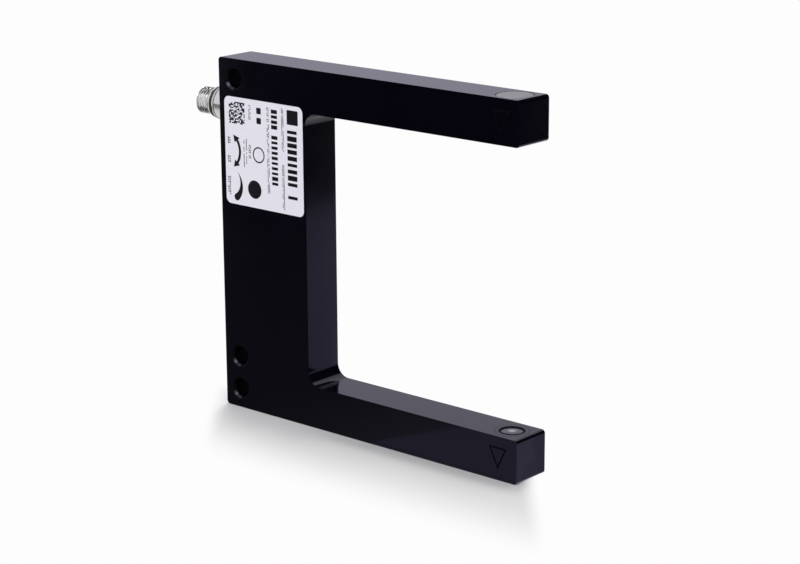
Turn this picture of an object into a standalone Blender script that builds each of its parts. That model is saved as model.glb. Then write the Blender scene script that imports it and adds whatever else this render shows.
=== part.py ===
"""A fork light barrier: a cast C-shaped housing whose two arm tips look at each other across a gap.

The housing stands on its lower arm. +X runs from the spine to the arm tips, -Y is the labelled face, and
the origin is the middle of the base of the whole part, plug connector included. Inside the functions a
place is given as (depth from the back face, side from the mid plane, height above the base).
"""
import math

import bmesh
import bpy
from mathutils import Vector

MM = 0.001

# Housing: the sizes that everything else hangs on
HOUSING_LENGTH = 110.0 * MM
HOUSING_THICKNESS = 12.5 * MM
FORK_OPENING = 80.0 * MM
ARM_HEIGHT = 12.5 * MM
SPINE_WIDTH = 33.8 * MM
OUTER_CORNER_RADIUS = 1.0 * MM
FORK_CORNER_RADIUS = 4.0 * MM
EDGE_RADIUS = 0.8 * MM
FRONT_WALL = 1.8 * MM
SIDE_WALL = 2.4 * MM
LEDGE_WIDTH = 1.1 * MM
TIP_BLOCK_LENGTH = 13.6 * MM
HOUSING_HEIGHT = FORK_OPENING + 2 * ARM_HEIGHT

# Clearances
SEAT_GAP = 0.3 * MM
SIDE_GAP = 0.2 * MM
FILM_GAP = 0.05 * MM

# Mounting holes through the housing
MOUNT_HOLE_RADIUS = 2.75 * MM
MOUNT_HOLE_CHAMFER = 0.6 * MM
MOUNT_HOLE_INSET = 5.85 * MM
MOUNT_HOLE_PITCH = 10.0 * MM
MOUNT_BOSS_WALL = 2.4 * MM

# Rear cover, its seal and its countersunk screws
COVER_THICKNESS = 1.4 * MM
SEAL_THICKNESS = 0.5 * MM
SCREW_HEAD_RADIUS = 1.9 * MM
SCREW_HEAD_HEIGHT = 1.0 * MM
SCREW_SHANK_RADIUS = 0.95 * MM
SCREW_LENGTH = 6.0 * MM
SCREW_SLOT_WIDTH = 0.5 * MM
SCREW_SLOT_DEPTH = 0.6 * MM
POST_RADIUS = 1.8 * MM
POST_WALL_DISTANCE = 2.2 * MM
ARM_SCREW_INSET = 5.0 * MM
ROOT_SCREW_DEPTH = 17.5 * MM
LOW_SCREW_HEIGHT = 25.6 * MM

# Label film in its recess
LABEL_WIDTH = 31.0 * MM
LABEL_HEIGHT = 31.7 * MM
LABEL_THICKNESS = 0.15 * MM
LABEL_CORNER_RADIUS = 1.8 * MM
LABEL_BACK_MARGIN = 1.9 * MM
LABEL_TOP_MARGIN = 11.1 * MM

# Triangle cut into the front of each arm, over the beam
MARK_WIDTH = 6.2 * MM
MARK_HEIGHT = 6.4 * MM
MARK_LINE = 0.5 * MM
MARK_DEPTH = 0.25 * MM

# Plug connector, by height outwards from the back face
CONNECTOR_DROP = 14.5 * MM
CONNECTOR_REACH = 12.4 * MM
THREAD_RADIUS = 4.0 * MM
THREAD_CHAMFER = 0.4 * MM
THREAD_START = 7.35 * MM
SHOULDER_RADIUS = 4.55 * MM
SHOULDER_START = 6.45 * MM
SHOULDER_WIDTH = 0.6 * MM
RELIEF_RADIUS = 3.5 * MM
ORING_NECK_RADIUS = 3.3 * MM
ORING_WIDTH = 1.3 * MM
COLLAR_RADIUS = 5.0 * MM
COLLAR_LENGTH = 4.95 * MM
COLLAR_GROOVE_START = 4.0 * MM
COLLAR_GROOVE_WIDTH = 0.25 * MM
COLLAR_GROOVE_DEPTH = 0.4 * MM
COLLAR_SEAT_GAP = 0.15 * MM
COLLAR_CHAMFER = 0.2 * MM
TAIL_RADIUS = 3.5 * MM
TAIL_LENGTH = 8.0 * MM
SOCKET_RADIUS = 3.25 * MM
SOCKET_DEPTH = 8.2 * MM
INSERT_RADIUS = 2.7 * MM
INSERT_RISE = 0.4 * MM
PIN_RADIUS = 0.5 * MM
PIN_CIRCLE_RADIUS = 1.5 * MM
PIN_SETBACK = 1.6 * MM
PIN_TAIL = 0.6 * MM
PIN_COUNT = 3
KEY_WIDTH = 1.0 * MM
KEY_HEIGHT = 0.7 * MM
KEY_LENGTH = 4.5 * MM
CLIP_THICKNESS = 0.6 * MM
CLIP_GROOVE_DEPTH = 0.4 * MM
CLIP_RADIUS = 4.1 * MM
CLIP_MOUTH_ANGLE = math.radians(80)

# Adjusters and status light in the back face
ADJUSTER_DROP = 27.5 * MM
ADJUSTER_PITCH = 10.2 * MM
ROTOR_RADIUS = 2.0 * MM
ROTOR_RECESS = 0.4 * MM
ROTOR_STEM_RADIUS = 1.0 * MM
ROTOR_STEM_LENGTH = 2.8 * MM
ROTOR_SLOT_WIDTH = 0.7 * MM
ROTOR_SLOT_DEPTH = 0.8 * MM
ROTOR_BORE_GAP = 0.3 * MM
POINTER_WIDTH = 1.7 * MM
POINTER_LENGTH = 0.9 * MM
POINTER_DEPTH = 0.3 * MM
POINTER_RIM = 0.3 * MM
ADJUSTER_BODY_LENGTH = 6.0 * MM
ADJUSTER_BODY_WIDTH = 4.5 * MM
ADJUSTER_BODY_HEIGHT = 6.4 * MM
INDICATOR_RADIUS = 1.5 * MM
INDICATOR_FLANGE_RADIUS = 2.0 * MM
INDICATOR_FLANGE_THICKNESS = 0.6 * MM
INDICATOR_LED_LENGTH = 1.6 * MM
INDICATOR_LED_SIZE = 2.0 * MM

# Circuit board and what stands on it
BOARD_THICKNESS = 1.0 * MM
BOARD_WALL_GAP = 1.0 * MM
BOARD_LOW_END = 30.0 * MM
BOARD_TOP_DROP = 19.5 * MM
BOARD_WIDTH = 22.0 * MM
PAD_HEIGHT = 0.6 * MM
PAD_RADIUS = 1.5 * MM
PAD_INSET = 2.5 * MM
BOARD_CORNER_RADIUS = 1.0 * MM
BOARD_SCREW_RADIUS = 0.7 * MM
BOARD_SCREW_BITE = 1.2 * MM
BOARD_SCREW_HEAD_RADIUS = 1.4 * MM
BOARD_SCREW_HEAD_HEIGHT = 0.8 * MM
CAPACITOR_RADIUS = 2.0 * MM
CAPACITOR_LENGTH = 4.5 * MM
CAPACITOR_PLACE = (8.0 * MM, 7.0 * MM)

# Chips and coil: size along, off and up the board, and their middle from the board's low back corner
BOARD_COMPONENTS = {
    "controller_chip": ((7.0 * MM, 1.0 * MM, 7.0 * MM), (15.0 * MM, 31.0 * MM)),
    "output_driver": ((5.0 * MM, 1.4 * MM, 4.0 * MM), (8.0 * MM, 16.0 * MM)),
    "regulator": ((4.0 * MM, 1.6 * MM, 4.0 * MM), (16.0 * MM, 16.0 * MM)),
    "filter_inductor": ((5.0 * MM, 3.0 * MM, 5.0 * MM), (16.0 * MM, 7.0 * MM)),
}

# Optics in each arm tip, by height from the gap face into the arm
BEAM_INSET = 6.5 * MM
CAP_SIDE_RIM = 1.25 * MM
CAP_THICKNESS = 1.6 * MM
CAP_RECESS = 0.05 * MM
CAP_STEM_RADIUS = 4.0 * MM
CAP_CHAMFER = 0.3 * MM
OPTIC_BORE_RADIUS = 4.2 * MM
LENS_RADIUS = 3.5 * MM
LENS_DOME = 0.2 * MM
LENS_RECESS = 0.05 * MM
LENS_FLANGE_RADIUS = 4.0 * MM
LENS_FLANGE_THICKNESS = 1.2 * MM
LENS_LEDGE = 1.0 * MM
BARREL_WALL = 0.9 * MM
DIODE_RADIUS = 1.6 * MM
DIODE_FOOT_RADIUS = 2.1 * MM
DIODE_FOOT_HEIGHT = 0.7 * MM
DIODE_LENGTH = 2.8 * MM
OPTIC_BOARD_THICKNESS = 0.7 * MM
WIRE_RADIUS = 0.4 * MM
WIRE_SPACING = 1.1 * MM
WIRE_HOLE_RADIUS = 1.2 * MM
WIRE_WALL_GAP = 0.6 * MM
WIRE_END_INSET = 2.0 * MM
WIRE_LAP = 4.0 * MM
WIRE_BEND_LENGTH = 10.0 * MM
WIRE_BEND_DROP = 5.0 * MM
WIRE_EASE_DROP = 1.2 * MM
LEAD_STRAIGHT = 2.0 * MM
LEAD_LAP = 3.0 * MM
LEAD_FIRST_PLACE = 8.5 * MM
LEAD_PITCH = 2.5 * MM

# Smoothness
ROUND_SIDES = 32
SMALL_SIDES = 16
PIN_SIDES = 12
ORING_SIDES = 8
CORNER_STEPS = 4
DOME_STEPS = 3
WIRE_STEPS = 3
WELD_DISTANCE = 0.001 * MM

# Places that follow from the sizes above
PART_LENGTH = HOUSING_LENGTH + CONNECTOR_REACH
BACK_FACE_X = CONNECTOR_REACH - PART_LENGTH / 2
FRONT_FACE_Y = -HOUSING_THICKNESS / 2
REAR_FACE_Y = HOUSING_THICKNESS / 2
POCKET_FLOOR_Y = FRONT_FACE_Y + FRONT_WALL
COVER_BACK_Y = REAR_FACE_Y - COVER_THICKNESS
LEDGE_Y = COVER_BACK_Y - SEAL_THICKNESS - 2 * SEAT_GAP
POCKET_END = HOUSING_LENGTH - TIP_BLOCK_LENGTH
BOSS_EDGE = MOUNT_HOLE_INSET + MOUNT_HOLE_RADIUS + MOUNT_BOSS_WALL
BEAM_DEPTH = HOUSING_LENGTH - BEAM_INSET
CAP_RADIUS = HOUSING_THICKNESS / 2 - CAP_SIDE_RIM
CONNECTOR_HEIGHT = HOUSING_HEIGHT - CONNECTOR_DROP
MODE_HEIGHT = HOUSING_HEIGHT - ADJUSTER_DROP
SENSITIVITY_HEIGHT = MODE_HEIGHT - ADJUSTER_PITCH
INDICATOR_HEIGHT = SENSITIVITY_HEIGHT - ADJUSTER_PITCH
BOARD_FRONT_Y = POCKET_FLOOR_Y + PAD_HEIGHT + SEAT_GAP
BOARD_REAR_Y = BOARD_FRONT_Y + BOARD_THICKNESS
BOARD_BACK_END = SIDE_WALL + BOARD_WALL_GAP
BOARD_TOP_END = HOUSING_HEIGHT - BOARD_TOP_DROP

# Turns that point a piece's own +Z at a face of the housing
FACING_REAR = (-math.pi / 2, 0, 0)
FACING_BACK = (0, -math.pi / 2, 0)
FACING_UP = (0, 0, 0)
FACING_DOWN = (math.pi, 0, 0)


def clear_scene():
    """Removes whatever the file holds before the part is made."""
    for old in list(bpy.data.objects):
        bpy.data.objects.remove(old, do_unlink=True)


def new_collection(name):
    made = bpy.data.collections.new(name)
    bpy.context.scene.collection.children.link(made)
    return made


clear_scene()
SENSOR = new_collection("fork_sensor")
CUTTERS = new_collection("cutters")
CUTTERS.hide_render = True


def finish(name, colour, roughness, metallic=0.0):
    """One Principled material."""
    made = bpy.data.materials.new(name)
    made.use_nodes = True
    shader = made.node_tree.nodes["Principled BSDF"]
    shader.inputs["Base Color"].default_value = (*colour, 1.0)
    shader.inputs["Roughness"].default_value = roughness
    shader.inputs["Metallic"].default_value = metallic
    return made


BLACK_COAT = finish("black_coat", (0.012, 0.011, 0.016), 0.3)
LABEL_FILM = finish("label_film", (0.78, 0.77, 0.86), 0.45)
NICKEL = finish("nickel", (0.66, 0.65, 0.62), 0.25, 1.0)
STEEL = finish("steel", (0.55, 0.55, 0.56), 0.35, 1.0)
GOLD_PLATE = finish("gold_plate", (0.83, 0.62, 0.25), 0.25, 1.0)
BLACK_RUBBER = finish("black_rubber", (0.012, 0.012, 0.013), 0.6)
BLACK_PLASTIC = finish("black_plastic", (0.02, 0.02, 0.022), 0.4)
GREY_PLASTIC = finish("grey_plastic", (0.32, 0.32, 0.31), 0.4)
WHITE_PLASTIC = finish("white_plastic", (0.72, 0.72, 0.7), 0.4)
LENS_PLASTIC = finish("lens_plastic", (0.06, 0.05, 0.07), 0.08)
AMBER_PLASTIC = finish("amber_plastic", (0.85, 0.45, 0.05), 0.2)
BOARD_GREEN = finish("board_green", (0.02, 0.16, 0.06), 0.45)
CHIP_BLACK = finish("chip_black", (0.025, 0.025, 0.027), 0.55)
WIRE_RED = finish("wire_red", (0.5, 0.03, 0.02), 0.45)
WIRE_BLUE = finish("wire_blue", (0.02, 0.06, 0.4), 0.45)


def at(depth, side, height):
    """A place in the housing's terms as a point of the part's own frame."""
    return Vector((BACK_FACE_X + depth, side, height))


def place(name, mesh, material, location, rotation=FACING_UP, collection=SENSOR):
    """Puts a mesh into the scene as one named piece."""
    made = bpy.data.objects.new(name, mesh)
    made.location = location
    made.rotation_euler = rotation
    if material:
        mesh.materials.append(material)
    collection.objects.link(made)
    if collection is CUTTERS:
        made.hide_render = True
        made.display_type = "WIRE"
    return made


def mesh_from(name, shape):
    """Turns a bmesh into a mesh with its round sides shaded smooth."""
    mesh = bpy.data.meshes.new(name)
    shape.to_mesh(mesh)
    shape.free()
    mesh.shade_smooth()
    mesh.set_sharp_from_angle(angle=math.radians(35))
    return mesh


def box(name, size, material, location, rotation=FACING_UP, collection=SENSOR):
    shape = bmesh.new()
    bmesh.ops.create_cube(shape, size=1.0)
    bmesh.ops.scale(shape, vec=size, verts=shape.verts)
    return place(name, mesh_from(name, shape), material, location, rotation, collection)


def cylinder(name, radius, depth, material, location, rotation=FACING_UP, collection=SENSOR, top=None,
             sides=ROUND_SIDES):
    """A cylinder, or a cone frustum whose +Z end has the radius top, centred on its location."""
    shape = bmesh.new()
    top_radius = radius if top is None else top
    bmesh.ops.create_cone(shape, cap_ends=True, segments=sides, radius1=radius, radius2=top_radius,
                          depth=depth)
    return place(name, mesh_from(name, shape), material, location, rotation, collection)


def turned(name, profile, material, location, rotation=FACING_UP, sides=ROUND_SIDES, ring=False,
           collection=SENSOR):
    """Spins a profile of (radius, height) pairs, listed down the outer side, round the piece's own Z."""
    mesh = bpy.data.meshes.new(name)
    rows = len(profile)
    links = [(row, row + 1) for row in range(rows - 1)]
    if ring:
        links.append((rows - 1, 0))
    mesh.from_pydata([(radius, 0.0, height) for radius, height in profile], links, [])
    made = place(name, mesh, material, location, rotation, collection)
    spin = made.modifiers.new("Spin", "SCREW")
    spin.axis = "Z"
    spin.angle = 2 * math.pi
    spin.steps = sides
    spin.render_steps = sides
    spin.use_merge_vertices = True
    spin.merge_threshold = WELD_DISTANCE
    spin.use_smooth_shade = True
    return made


def arc(centre, radius, start, end, steps):
    """Points along an arc, both ends included."""
    turn = (end - start) / steps
    return [
        (centre[0] + radius * math.cos(start + turn * step), centre[1] + radius * math.sin(start + turn * step))
        for step in range(steps + 1)
    ]


def rounded(corners, steps=CORNER_STEPS):
    """An outline whose corners, given as (across, up, radius), become arcs. Both turn directions work."""
    outline = []
    for index, (across, up, radius) in enumerate(corners):
        corner = Vector((across, up))
        before = (Vector(corners[index - 1][:2]) - corner).normalized()
        after = (Vector(corners[(index + 1) % len(corners)][:2]) - corner).normalized()
        if radius <= 0:
            outline.append((across, up))
            continue
        half = before.angle(after) / 2
        centre = corner + (before + after).normalized() * radius / math.sin(half)
        first = corner + before * radius / math.tan(half) - centre
        last = corner + after * radius / math.tan(half) - centre
        start = math.atan2(first.y, first.x)
        turn = math.atan2(last.y, last.x) - start
        turn = (turn + math.pi) % (2 * math.pi) - math.pi
        outline.extend(arc(centre, radius, start, start + turn, steps))
    return outline


def circle(across, up, radius, sides=SMALL_SIDES):
    """A closed round outline, its last point left out because it is the first again."""
    return arc((across, up), radius, 0, 2 * math.pi, sides)[:-1]


def add_spline(curve, outline):
    spline = curve.splines.new("POLY")
    spline.points.add(len(outline) - 1)
    for point, (across, up) in zip(spline.points, outline):
        point.co = (across, up, 0.0, 1.0)
    spline.use_cyclic_u = True


def mesh_of_curve(name, pattern):
    """Reads the evaluated curve as a mesh, welds its caps and takes the curve away."""
    graph = bpy.context.evaluated_depsgraph_get()
    mesh = bpy.data.meshes.new_from_object(pattern.evaluated_get(graph))
    mesh.name = name
    shape = bmesh.new()
    shape.from_mesh(mesh)
    bmesh.ops.remove_doubles(shape, verts=shape.verts, dist=WELD_DISTANCE)
    shape.to_mesh(mesh)
    shape.free()
    bpy.data.objects.remove(pattern, do_unlink=True)
    return mesh


def flat_piece(name, outlines, thickness, material, location, rotation=FACING_UP, collection=SENSOR):
    """A flat piece: the first outline is its edge, and the others are holes through it."""
    curve = bpy.data.curves.new(name, "CURVE")
    curve.dimensions = "2D"
    curve.fill_mode = "BOTH"
    curve.extrude = thickness / 2
    for outline in outlines:
        add_spline(curve, outline)
    pattern = bpy.data.objects.new(name + "_pattern", curve)
    CUTTERS.objects.link(pattern)
    mesh = mesh_of_curve(name, pattern)
    mesh.shade_smooth()
    mesh.set_sharp_from_angle(angle=math.radians(35))
    mesh.materials.clear()
    return place(name, mesh, material, location, rotation, collection)


def side_plate(name, outlines, front, rear, material, collection=SENSOR):
    """A flat piece drawn in the housing's side view, from side=front to side=rear."""
    upright = (math.pi / 2, 0, 0)
    middle = at(0.0, (front + rear) / 2, 0.0)
    return flat_piece(name, outlines, rear - front, material, middle, upright, collection)


def cut(target, cutter):
    """Takes the cutter's volume out of the target."""
    made = target.modifiers.new("Cut " + cutter.name, "BOOLEAN")
    made.operation = "DIFFERENCE"
    made.solver = "EXACT"
    made.object = cutter


def join(target, addition):
    """Makes the addition part of the target."""
    made = target.modifiers.new("Join " + addition.name, "BOOLEAN")
    made.operation = "UNION"
    made.solver = "EXACT"
    made.object = addition


def round_edges(target, width, segments=2):
    """Rounds the edges between a flat piece's faces and its sides."""
    made = target.modifiers.new("Edges", "BEVEL")
    made.width = width
    made.segments = segments
    made.limit_method = "ANGLE"
    made.angle_limit = math.radians(60)


def mirrored(height):
    """The same height in the other arm."""
    return HOUSING_HEIGHT - height


def housing_outline():
    """The C as seen from the side."""
    top = HOUSING_HEIGHT
    corner = OUTER_CORNER_RADIUS
    return rounded([
        (0, 0, corner),
        (HOUSING_LENGTH, 0, corner),
        (HOUSING_LENGTH, ARM_HEIGHT, corner),
        (SPINE_WIDTH, ARM_HEIGHT, FORK_CORNER_RADIUS),
        (SPINE_WIDTH, top - ARM_HEIGHT, FORK_CORNER_RADIUS),
        (HOUSING_LENGTH, top - ARM_HEIGHT, corner),
        (HOUSING_LENGTH, top, corner),
        (0, top, corner),
    ])


def pocket_outline(inset):
    """The electronics pocket's C, a wall's thickness in from the outside, kept off the mounting holes.

    An inset other than the side wall gives the rebate, the cover or the seal, parallel to the pocket.
    """
    top = HOUSING_HEIGHT
    shift = SIDE_WALL - inset
    boss = BOSS_EDGE - shift
    low_boss = BOSS_EDGE + MOUNT_HOLE_PITCH - shift
    end = POCKET_END + shift
    corner = OUTER_CORNER_RADIUS
    fork_corner = FORK_CORNER_RADIUS + inset
    return rounded([
        (inset, low_boss, corner),
        (boss, low_boss, corner),
        (boss, inset, corner),
        (end, inset, corner),
        (end, ARM_HEIGHT - inset, corner),
        (SPINE_WIDTH - inset, ARM_HEIGHT - inset, fork_corner),
        (SPINE_WIDTH - inset, top - ARM_HEIGHT + inset, fork_corner),
        (end, top - ARM_HEIGHT + inset, corner),
        (end, top - inset, corner),
        (boss, top - inset, corner),
        (boss, top - boss, corner),
        (inset, top - boss, corner),
    ])


def screw_places():
    """Depth and height of each cover screw, round the C."""
    from_wall = SIDE_WALL + POST_WALL_DISTANCE
    arm_end = POCKET_END - ARM_SCREW_INSET
    arm_height = ARM_HEIGHT - from_wall
    return [
        (arm_end, arm_height),
        (ROOT_SCREW_DEPTH, from_wall),
        (from_wall, LOW_SCREW_HEIGHT),
        (SPINE_WIDTH - from_wall, HOUSING_HEIGHT / 2),
        (ROOT_SCREW_DEPTH, mirrored(from_wall)),
        (arm_end, mirrored(arm_height)),
    ]


def mount_hole_heights():
    low = MOUNT_HOLE_INSET
    return [low, low + MOUNT_HOLE_PITCH, mirrored(MOUNT_HOLE_INSET)]


def cut_pocket(housing):
    """Hollows the housing from the rear, leaving posts for the screws and pads for the board."""
    beyond = REAR_FACE_Y + SIDE_WALL
    posts = [circle(depth, height, POST_RADIUS) for depth, height in screw_places()]
    pad_top = POCKET_FLOOR_Y + PAD_HEIGHT
    upper = side_plate("pocket_cutter", [pocket_outline(SIDE_WALL)] + posts, pad_top, beyond, None, CUTTERS)
    cut(housing, upper)
    pads = [circle(depth, height, PAD_RADIUS) for depth, height in pad_places()]
    lower = side_plate("pocket_floor_cutter", [pocket_outline(SIDE_WALL)] + posts + pads, POCKET_FLOOR_Y,
                       pad_top + PAD_HEIGHT, None, CUTTERS)
    cut(housing, lower)
    rebate = side_plate("rebate_cutter", [pocket_outline(SIDE_WALL - LEDGE_WIDTH)], LEDGE_Y, beyond, None,
                        CUTTERS)
    cut(housing, rebate)


def pad_places():
    """Depth and height of the pads under the main board's corners."""
    near = BOARD_BACK_END + PAD_INSET
    far = BOARD_BACK_END + BOARD_WIDTH - PAD_INSET
    low = BOARD_LOW_END + PAD_INSET
    high = BOARD_TOP_END - PAD_INSET
    return [(near, low), (far, low), (near, high), (far, high)]


def board_screw_places():
    """The two pads nearest the back wall take the board's screws."""
    return [place_on_board for place_on_board in pad_places() if place_on_board[0] < SPINE_WIDTH / 2]


def cut_board_screw_holes(housing):
    """Blind pilot holes in two of the board's pads."""
    length = 2 * (BOARD_SCREW_BITE + SIDE_GAP)
    for index, (depth, height) in enumerate(board_screw_places(), 1):
        middle = at(depth, POCKET_FLOOR_Y + PAD_HEIGHT, height)
        cut(housing, cylinder(f"board_pilot_cutter_{index}", BOARD_SCREW_RADIUS + SIDE_GAP, length, None, middle,
                              FACING_REAR, CUTTERS, sides=PIN_SIDES))


def cut_screw_holes(housing):
    """Pilot holes down the posts."""
    length = SCREW_LENGTH + SEAT_GAP
    for index, (depth, height) in enumerate(screw_places(), 1):
        middle = at(depth, REAR_FACE_Y - length / 2, height)
        pilot = cylinder(f"pilot_cutter_{index}", SCREW_SHANK_RADIUS + SIDE_GAP, length, None, middle,
                         FACING_REAR, CUTTERS, sides=SMALL_SIDES)
        cut(housing, pilot)


def cut_mounting_holes(housing):
    """Through holes, countersunk lightly from both faces."""
    through = HOUSING_THICKNESS / 2 + SIDE_WALL
    wide = MOUNT_HOLE_RADIUS + MOUNT_HOLE_CHAMFER
    face = HOUSING_THICKNESS / 2
    inner = face - MOUNT_HOLE_CHAMFER
    outer_radius = wide + through - face
    profile = [
        (0, through), (outer_radius, through), (MOUNT_HOLE_RADIUS, inner), (MOUNT_HOLE_RADIUS, -inner),
        (outer_radius, -through), (0, -through),
    ]
    for index, height in enumerate(mount_hole_heights(), 1):
        hole = turned(f"mount_hole_cutter_{index}", profile, None, at(MOUNT_HOLE_INSET, 0, height),
                      FACING_REAR, collection=CUTTERS)
        cut(housing, hole)


def cut_back_bores(housing):
    """Bores through the back wall for the plug, the two adjusters and the status light."""
    bores = [
        ("connector_bore_cutter", CONNECTOR_HEIGHT, TAIL_RADIUS + SIDE_GAP, TAIL_LENGTH + SEAT_GAP),
        ("mode_bore_cutter", MODE_HEIGHT, ROTOR_RADIUS + ROTOR_BORE_GAP, SIDE_WALL + SEAT_GAP),
        ("sensitivity_bore_cutter", SENSITIVITY_HEIGHT, ROTOR_RADIUS + ROTOR_BORE_GAP, SIDE_WALL + SEAT_GAP),
        ("indicator_bore_cutter", INDICATOR_HEIGHT, INDICATOR_RADIUS + SIDE_GAP, SIDE_WALL + SEAT_GAP),
    ]
    for name, height, radius, reach in bores:
        length = reach + SIDE_WALL
        middle = at(length / 2 - SIDE_WALL, 0, height)
        cut(housing, cylinder(name, radius, length, None, middle, FACING_BACK, CUTTERS))
    clip_room = TAIL_LENGTH + SEAT_GAP - SIDE_WALL
    middle = at(SIDE_WALL + clip_room / 2, 0, CONNECTOR_HEIGHT)
    cut(housing, cylinder("clip_room_cutter", CLIP_RADIUS + SIDE_GAP, clip_room, None, middle, FACING_BACK, CUTTERS))


def arm_frame(upper):
    """The gap face's height and the direction from it into the arm."""
    if upper:
        return HOUSING_HEIGHT - ARM_HEIGHT, 1
    return ARM_HEIGHT, -1


def wire_level():
    """Height of the wires' centre line, counted from the gap face into the arm."""
    return ARM_HEIGHT - SIDE_WALL - WIRE_WALL_GAP - WIRE_RADIUS


def optic_board_bottom():
    """Height of the optics board's underside, which leaves the wires their room above it."""
    return wire_level() - WIRE_RADIUS - SIDE_GAP - OPTIC_BOARD_THICKNESS


def cut_optic_bore(housing, name, upper):
    """The stepped bore of one arm tip and the hole that lets its wires in from the pocket."""
    gap_face, inward = arm_frame(upper)
    seat = ARM_HEIGHT - CAP_THICKNESS - CAP_RECESS - SEAT_GAP
    window = LENS_RADIUS + SIDE_GAP
    beyond = ARM_HEIGHT + SIDE_WALL
    profile = [
        (0, beyond), (CAP_RADIUS + SIDE_GAP, beyond), (CAP_RADIUS + SIDE_GAP, seat), (OPTIC_BORE_RADIUS, seat),
        (OPTIC_BORE_RADIUS, LENS_LEDGE), (window, LENS_LEDGE), (window, -SIDE_WALL), (0, -SIDE_WALL),
    ]
    turn = FACING_UP if upper else FACING_DOWN
    cut(housing, turned(name + "_bore_cutter", profile, None, at(BEAM_DEPTH, 0, gap_face), turn,
                        collection=CUTTERS))
    start = POCKET_END - SIDE_WALL
    length = BEAM_DEPTH - start
    middle = at(start + length / 2, 0, gap_face + inward * wire_level())
    cut(housing, cylinder(name + "_wire_hole_cutter", WIRE_HOLE_RADIUS, length, None, middle, FACING_BACK,
                          CUTTERS, sides=SMALL_SIDES))


def cut_mark(housing, name, height):
    """A triangle's outline, point down, engraved in the front face."""
    half = MARK_WIDTH / 2
    rise = MARK_HEIGHT / 2
    outer = [(-half, rise), (half, rise), (0, -rise)]
    side = math.hypot(half, MARK_HEIGHT)
    inner_radius = half * MARK_HEIGHT / (half + side)
    shrink = (inner_radius - MARK_LINE) / inner_radius
    middle_up = rise - inner_radius
    inner = [(across * shrink, middle_up + (up - middle_up) * shrink) for across, up in outer]
    outlines = [[(BEAM_DEPTH + across, height + up) for across, up in ring] for ring in (outer, inner)]
    cut(housing, side_plate(name, outlines, FRONT_FACE_Y - MARK_DEPTH, FRONT_FACE_Y + MARK_DEPTH, None, CUTTERS))


def label_outline(margin):
    """The label film's edge, or with a margin its recess."""
    left = LABEL_BACK_MARGIN - margin
    right = LABEL_BACK_MARGIN + LABEL_WIDTH + margin
    high = HOUSING_HEIGHT - LABEL_TOP_MARGIN + margin
    low = HOUSING_HEIGHT - LABEL_TOP_MARGIN - LABEL_HEIGHT - margin
    radius = LABEL_CORNER_RADIUS + margin
    return rounded([(left, low, radius), (right, low, radius), (right, high, radius), (left, high, radius)])


def make_housing():
    """The casting: rounded C, pocket, posts, bores and marks."""
    housing = side_plate("housing", [housing_outline()], FRONT_FACE_Y, REAR_FACE_Y, BLACK_COAT)
    round_edges(housing, EDGE_RADIUS)
    cut_pocket(housing)
    cut_screw_holes(housing)
    cut_board_screw_holes(housing)
    cut_mounting_holes(housing)
    cut_back_bores(housing)
    cut_optic_bore(housing, "emitter", True)
    cut_optic_bore(housing, "receiver", False)
    cut_mark(housing, "upper_mark_cutter", mirrored(ARM_HEIGHT / 2))
    cut_mark(housing, "lower_mark_cutter", ARM_HEIGHT / 2)
    recess = LABEL_THICKNESS + FILM_GAP
    cut(housing, side_plate("label_recess_cutter", [label_outline(FILM_GAP)], FRONT_FACE_Y - recess,
                            FRONT_FACE_Y + recess, None, CUTTERS))
    return housing


def make_label():
    side_plate("label", [label_outline(0)], FRONT_FACE_Y, FRONT_FACE_Y + LABEL_THICKNESS, LABEL_FILM)


def make_cover():
    """The flush rear cover with a countersink for each screw, and the seal under its rim."""
    edge = SIDE_WALL - LEDGE_WIDTH + SIDE_GAP
    shank = SCREW_SHANK_RADIUS + SIDE_GAP
    cover = side_plate("rear_cover", [pocket_outline(edge)], COVER_BACK_Y, REAR_FACE_Y, BLACK_COAT)
    head = SCREW_HEAD_RADIUS + SIDE_GAP
    above = SCREW_HEAD_HEIGHT
    below = -2 * COVER_THICKNESS
    profile = [(0, above), (head, above), (head, 0), (shank, -SCREW_HEAD_HEIGHT), (shank, below), (0, below)]
    for index, (depth, height) in enumerate(screw_places(), 1):
        sink = turned(f"countersink_cutter_{index}", profile, None, at(depth, REAR_FACE_Y, height), FACING_REAR,
                      sides=SMALL_SIDES, collection=CUTTERS)
        cut(cover, sink)
    seal_front = LEDGE_Y + SEAT_GAP
    outer = pocket_outline(edge)
    inner = pocket_outline(SIDE_WALL)
    side_plate("cover_seal", [outer, inner], seal_front, seal_front + SEAL_THICKNESS, BLACK_RUBBER)


def make_cover_screw(index, depth, height):
    """A countersunk screw with a cross recess, its head just under the cover's face."""
    top = -FILM_GAP
    shank_top = top - SCREW_HEAD_HEIGHT
    profile = [
        (0, top), (SCREW_HEAD_RADIUS, top), (SCREW_SHANK_RADIUS, shank_top), (SCREW_SHANK_RADIUS, -SCREW_LENGTH),
        (0, -SCREW_LENGTH),
    ]
    screw = turned(f"cover_screw_{index}", profile, STEEL, at(depth, REAR_FACE_Y, height), FACING_REAR,
                   sides=SMALL_SIDES)
    for turn in (0, math.pi / 2):
        size = (2 * SCREW_SHANK_RADIUS + SCREW_SLOT_WIDTH, SCREW_SLOT_WIDTH, 2 * SCREW_SLOT_DEPTH)
        name = f"screw_slot_cutter_{index}_{round(math.degrees(turn))}"
        slot = box(name, size, None, at(depth, REAR_FACE_Y, height), (-math.pi / 2, 0, 0), CUTTERS)
        slot.rotation_euler.rotate_axis("Z", turn)
        cut(screw, slot)


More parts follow.
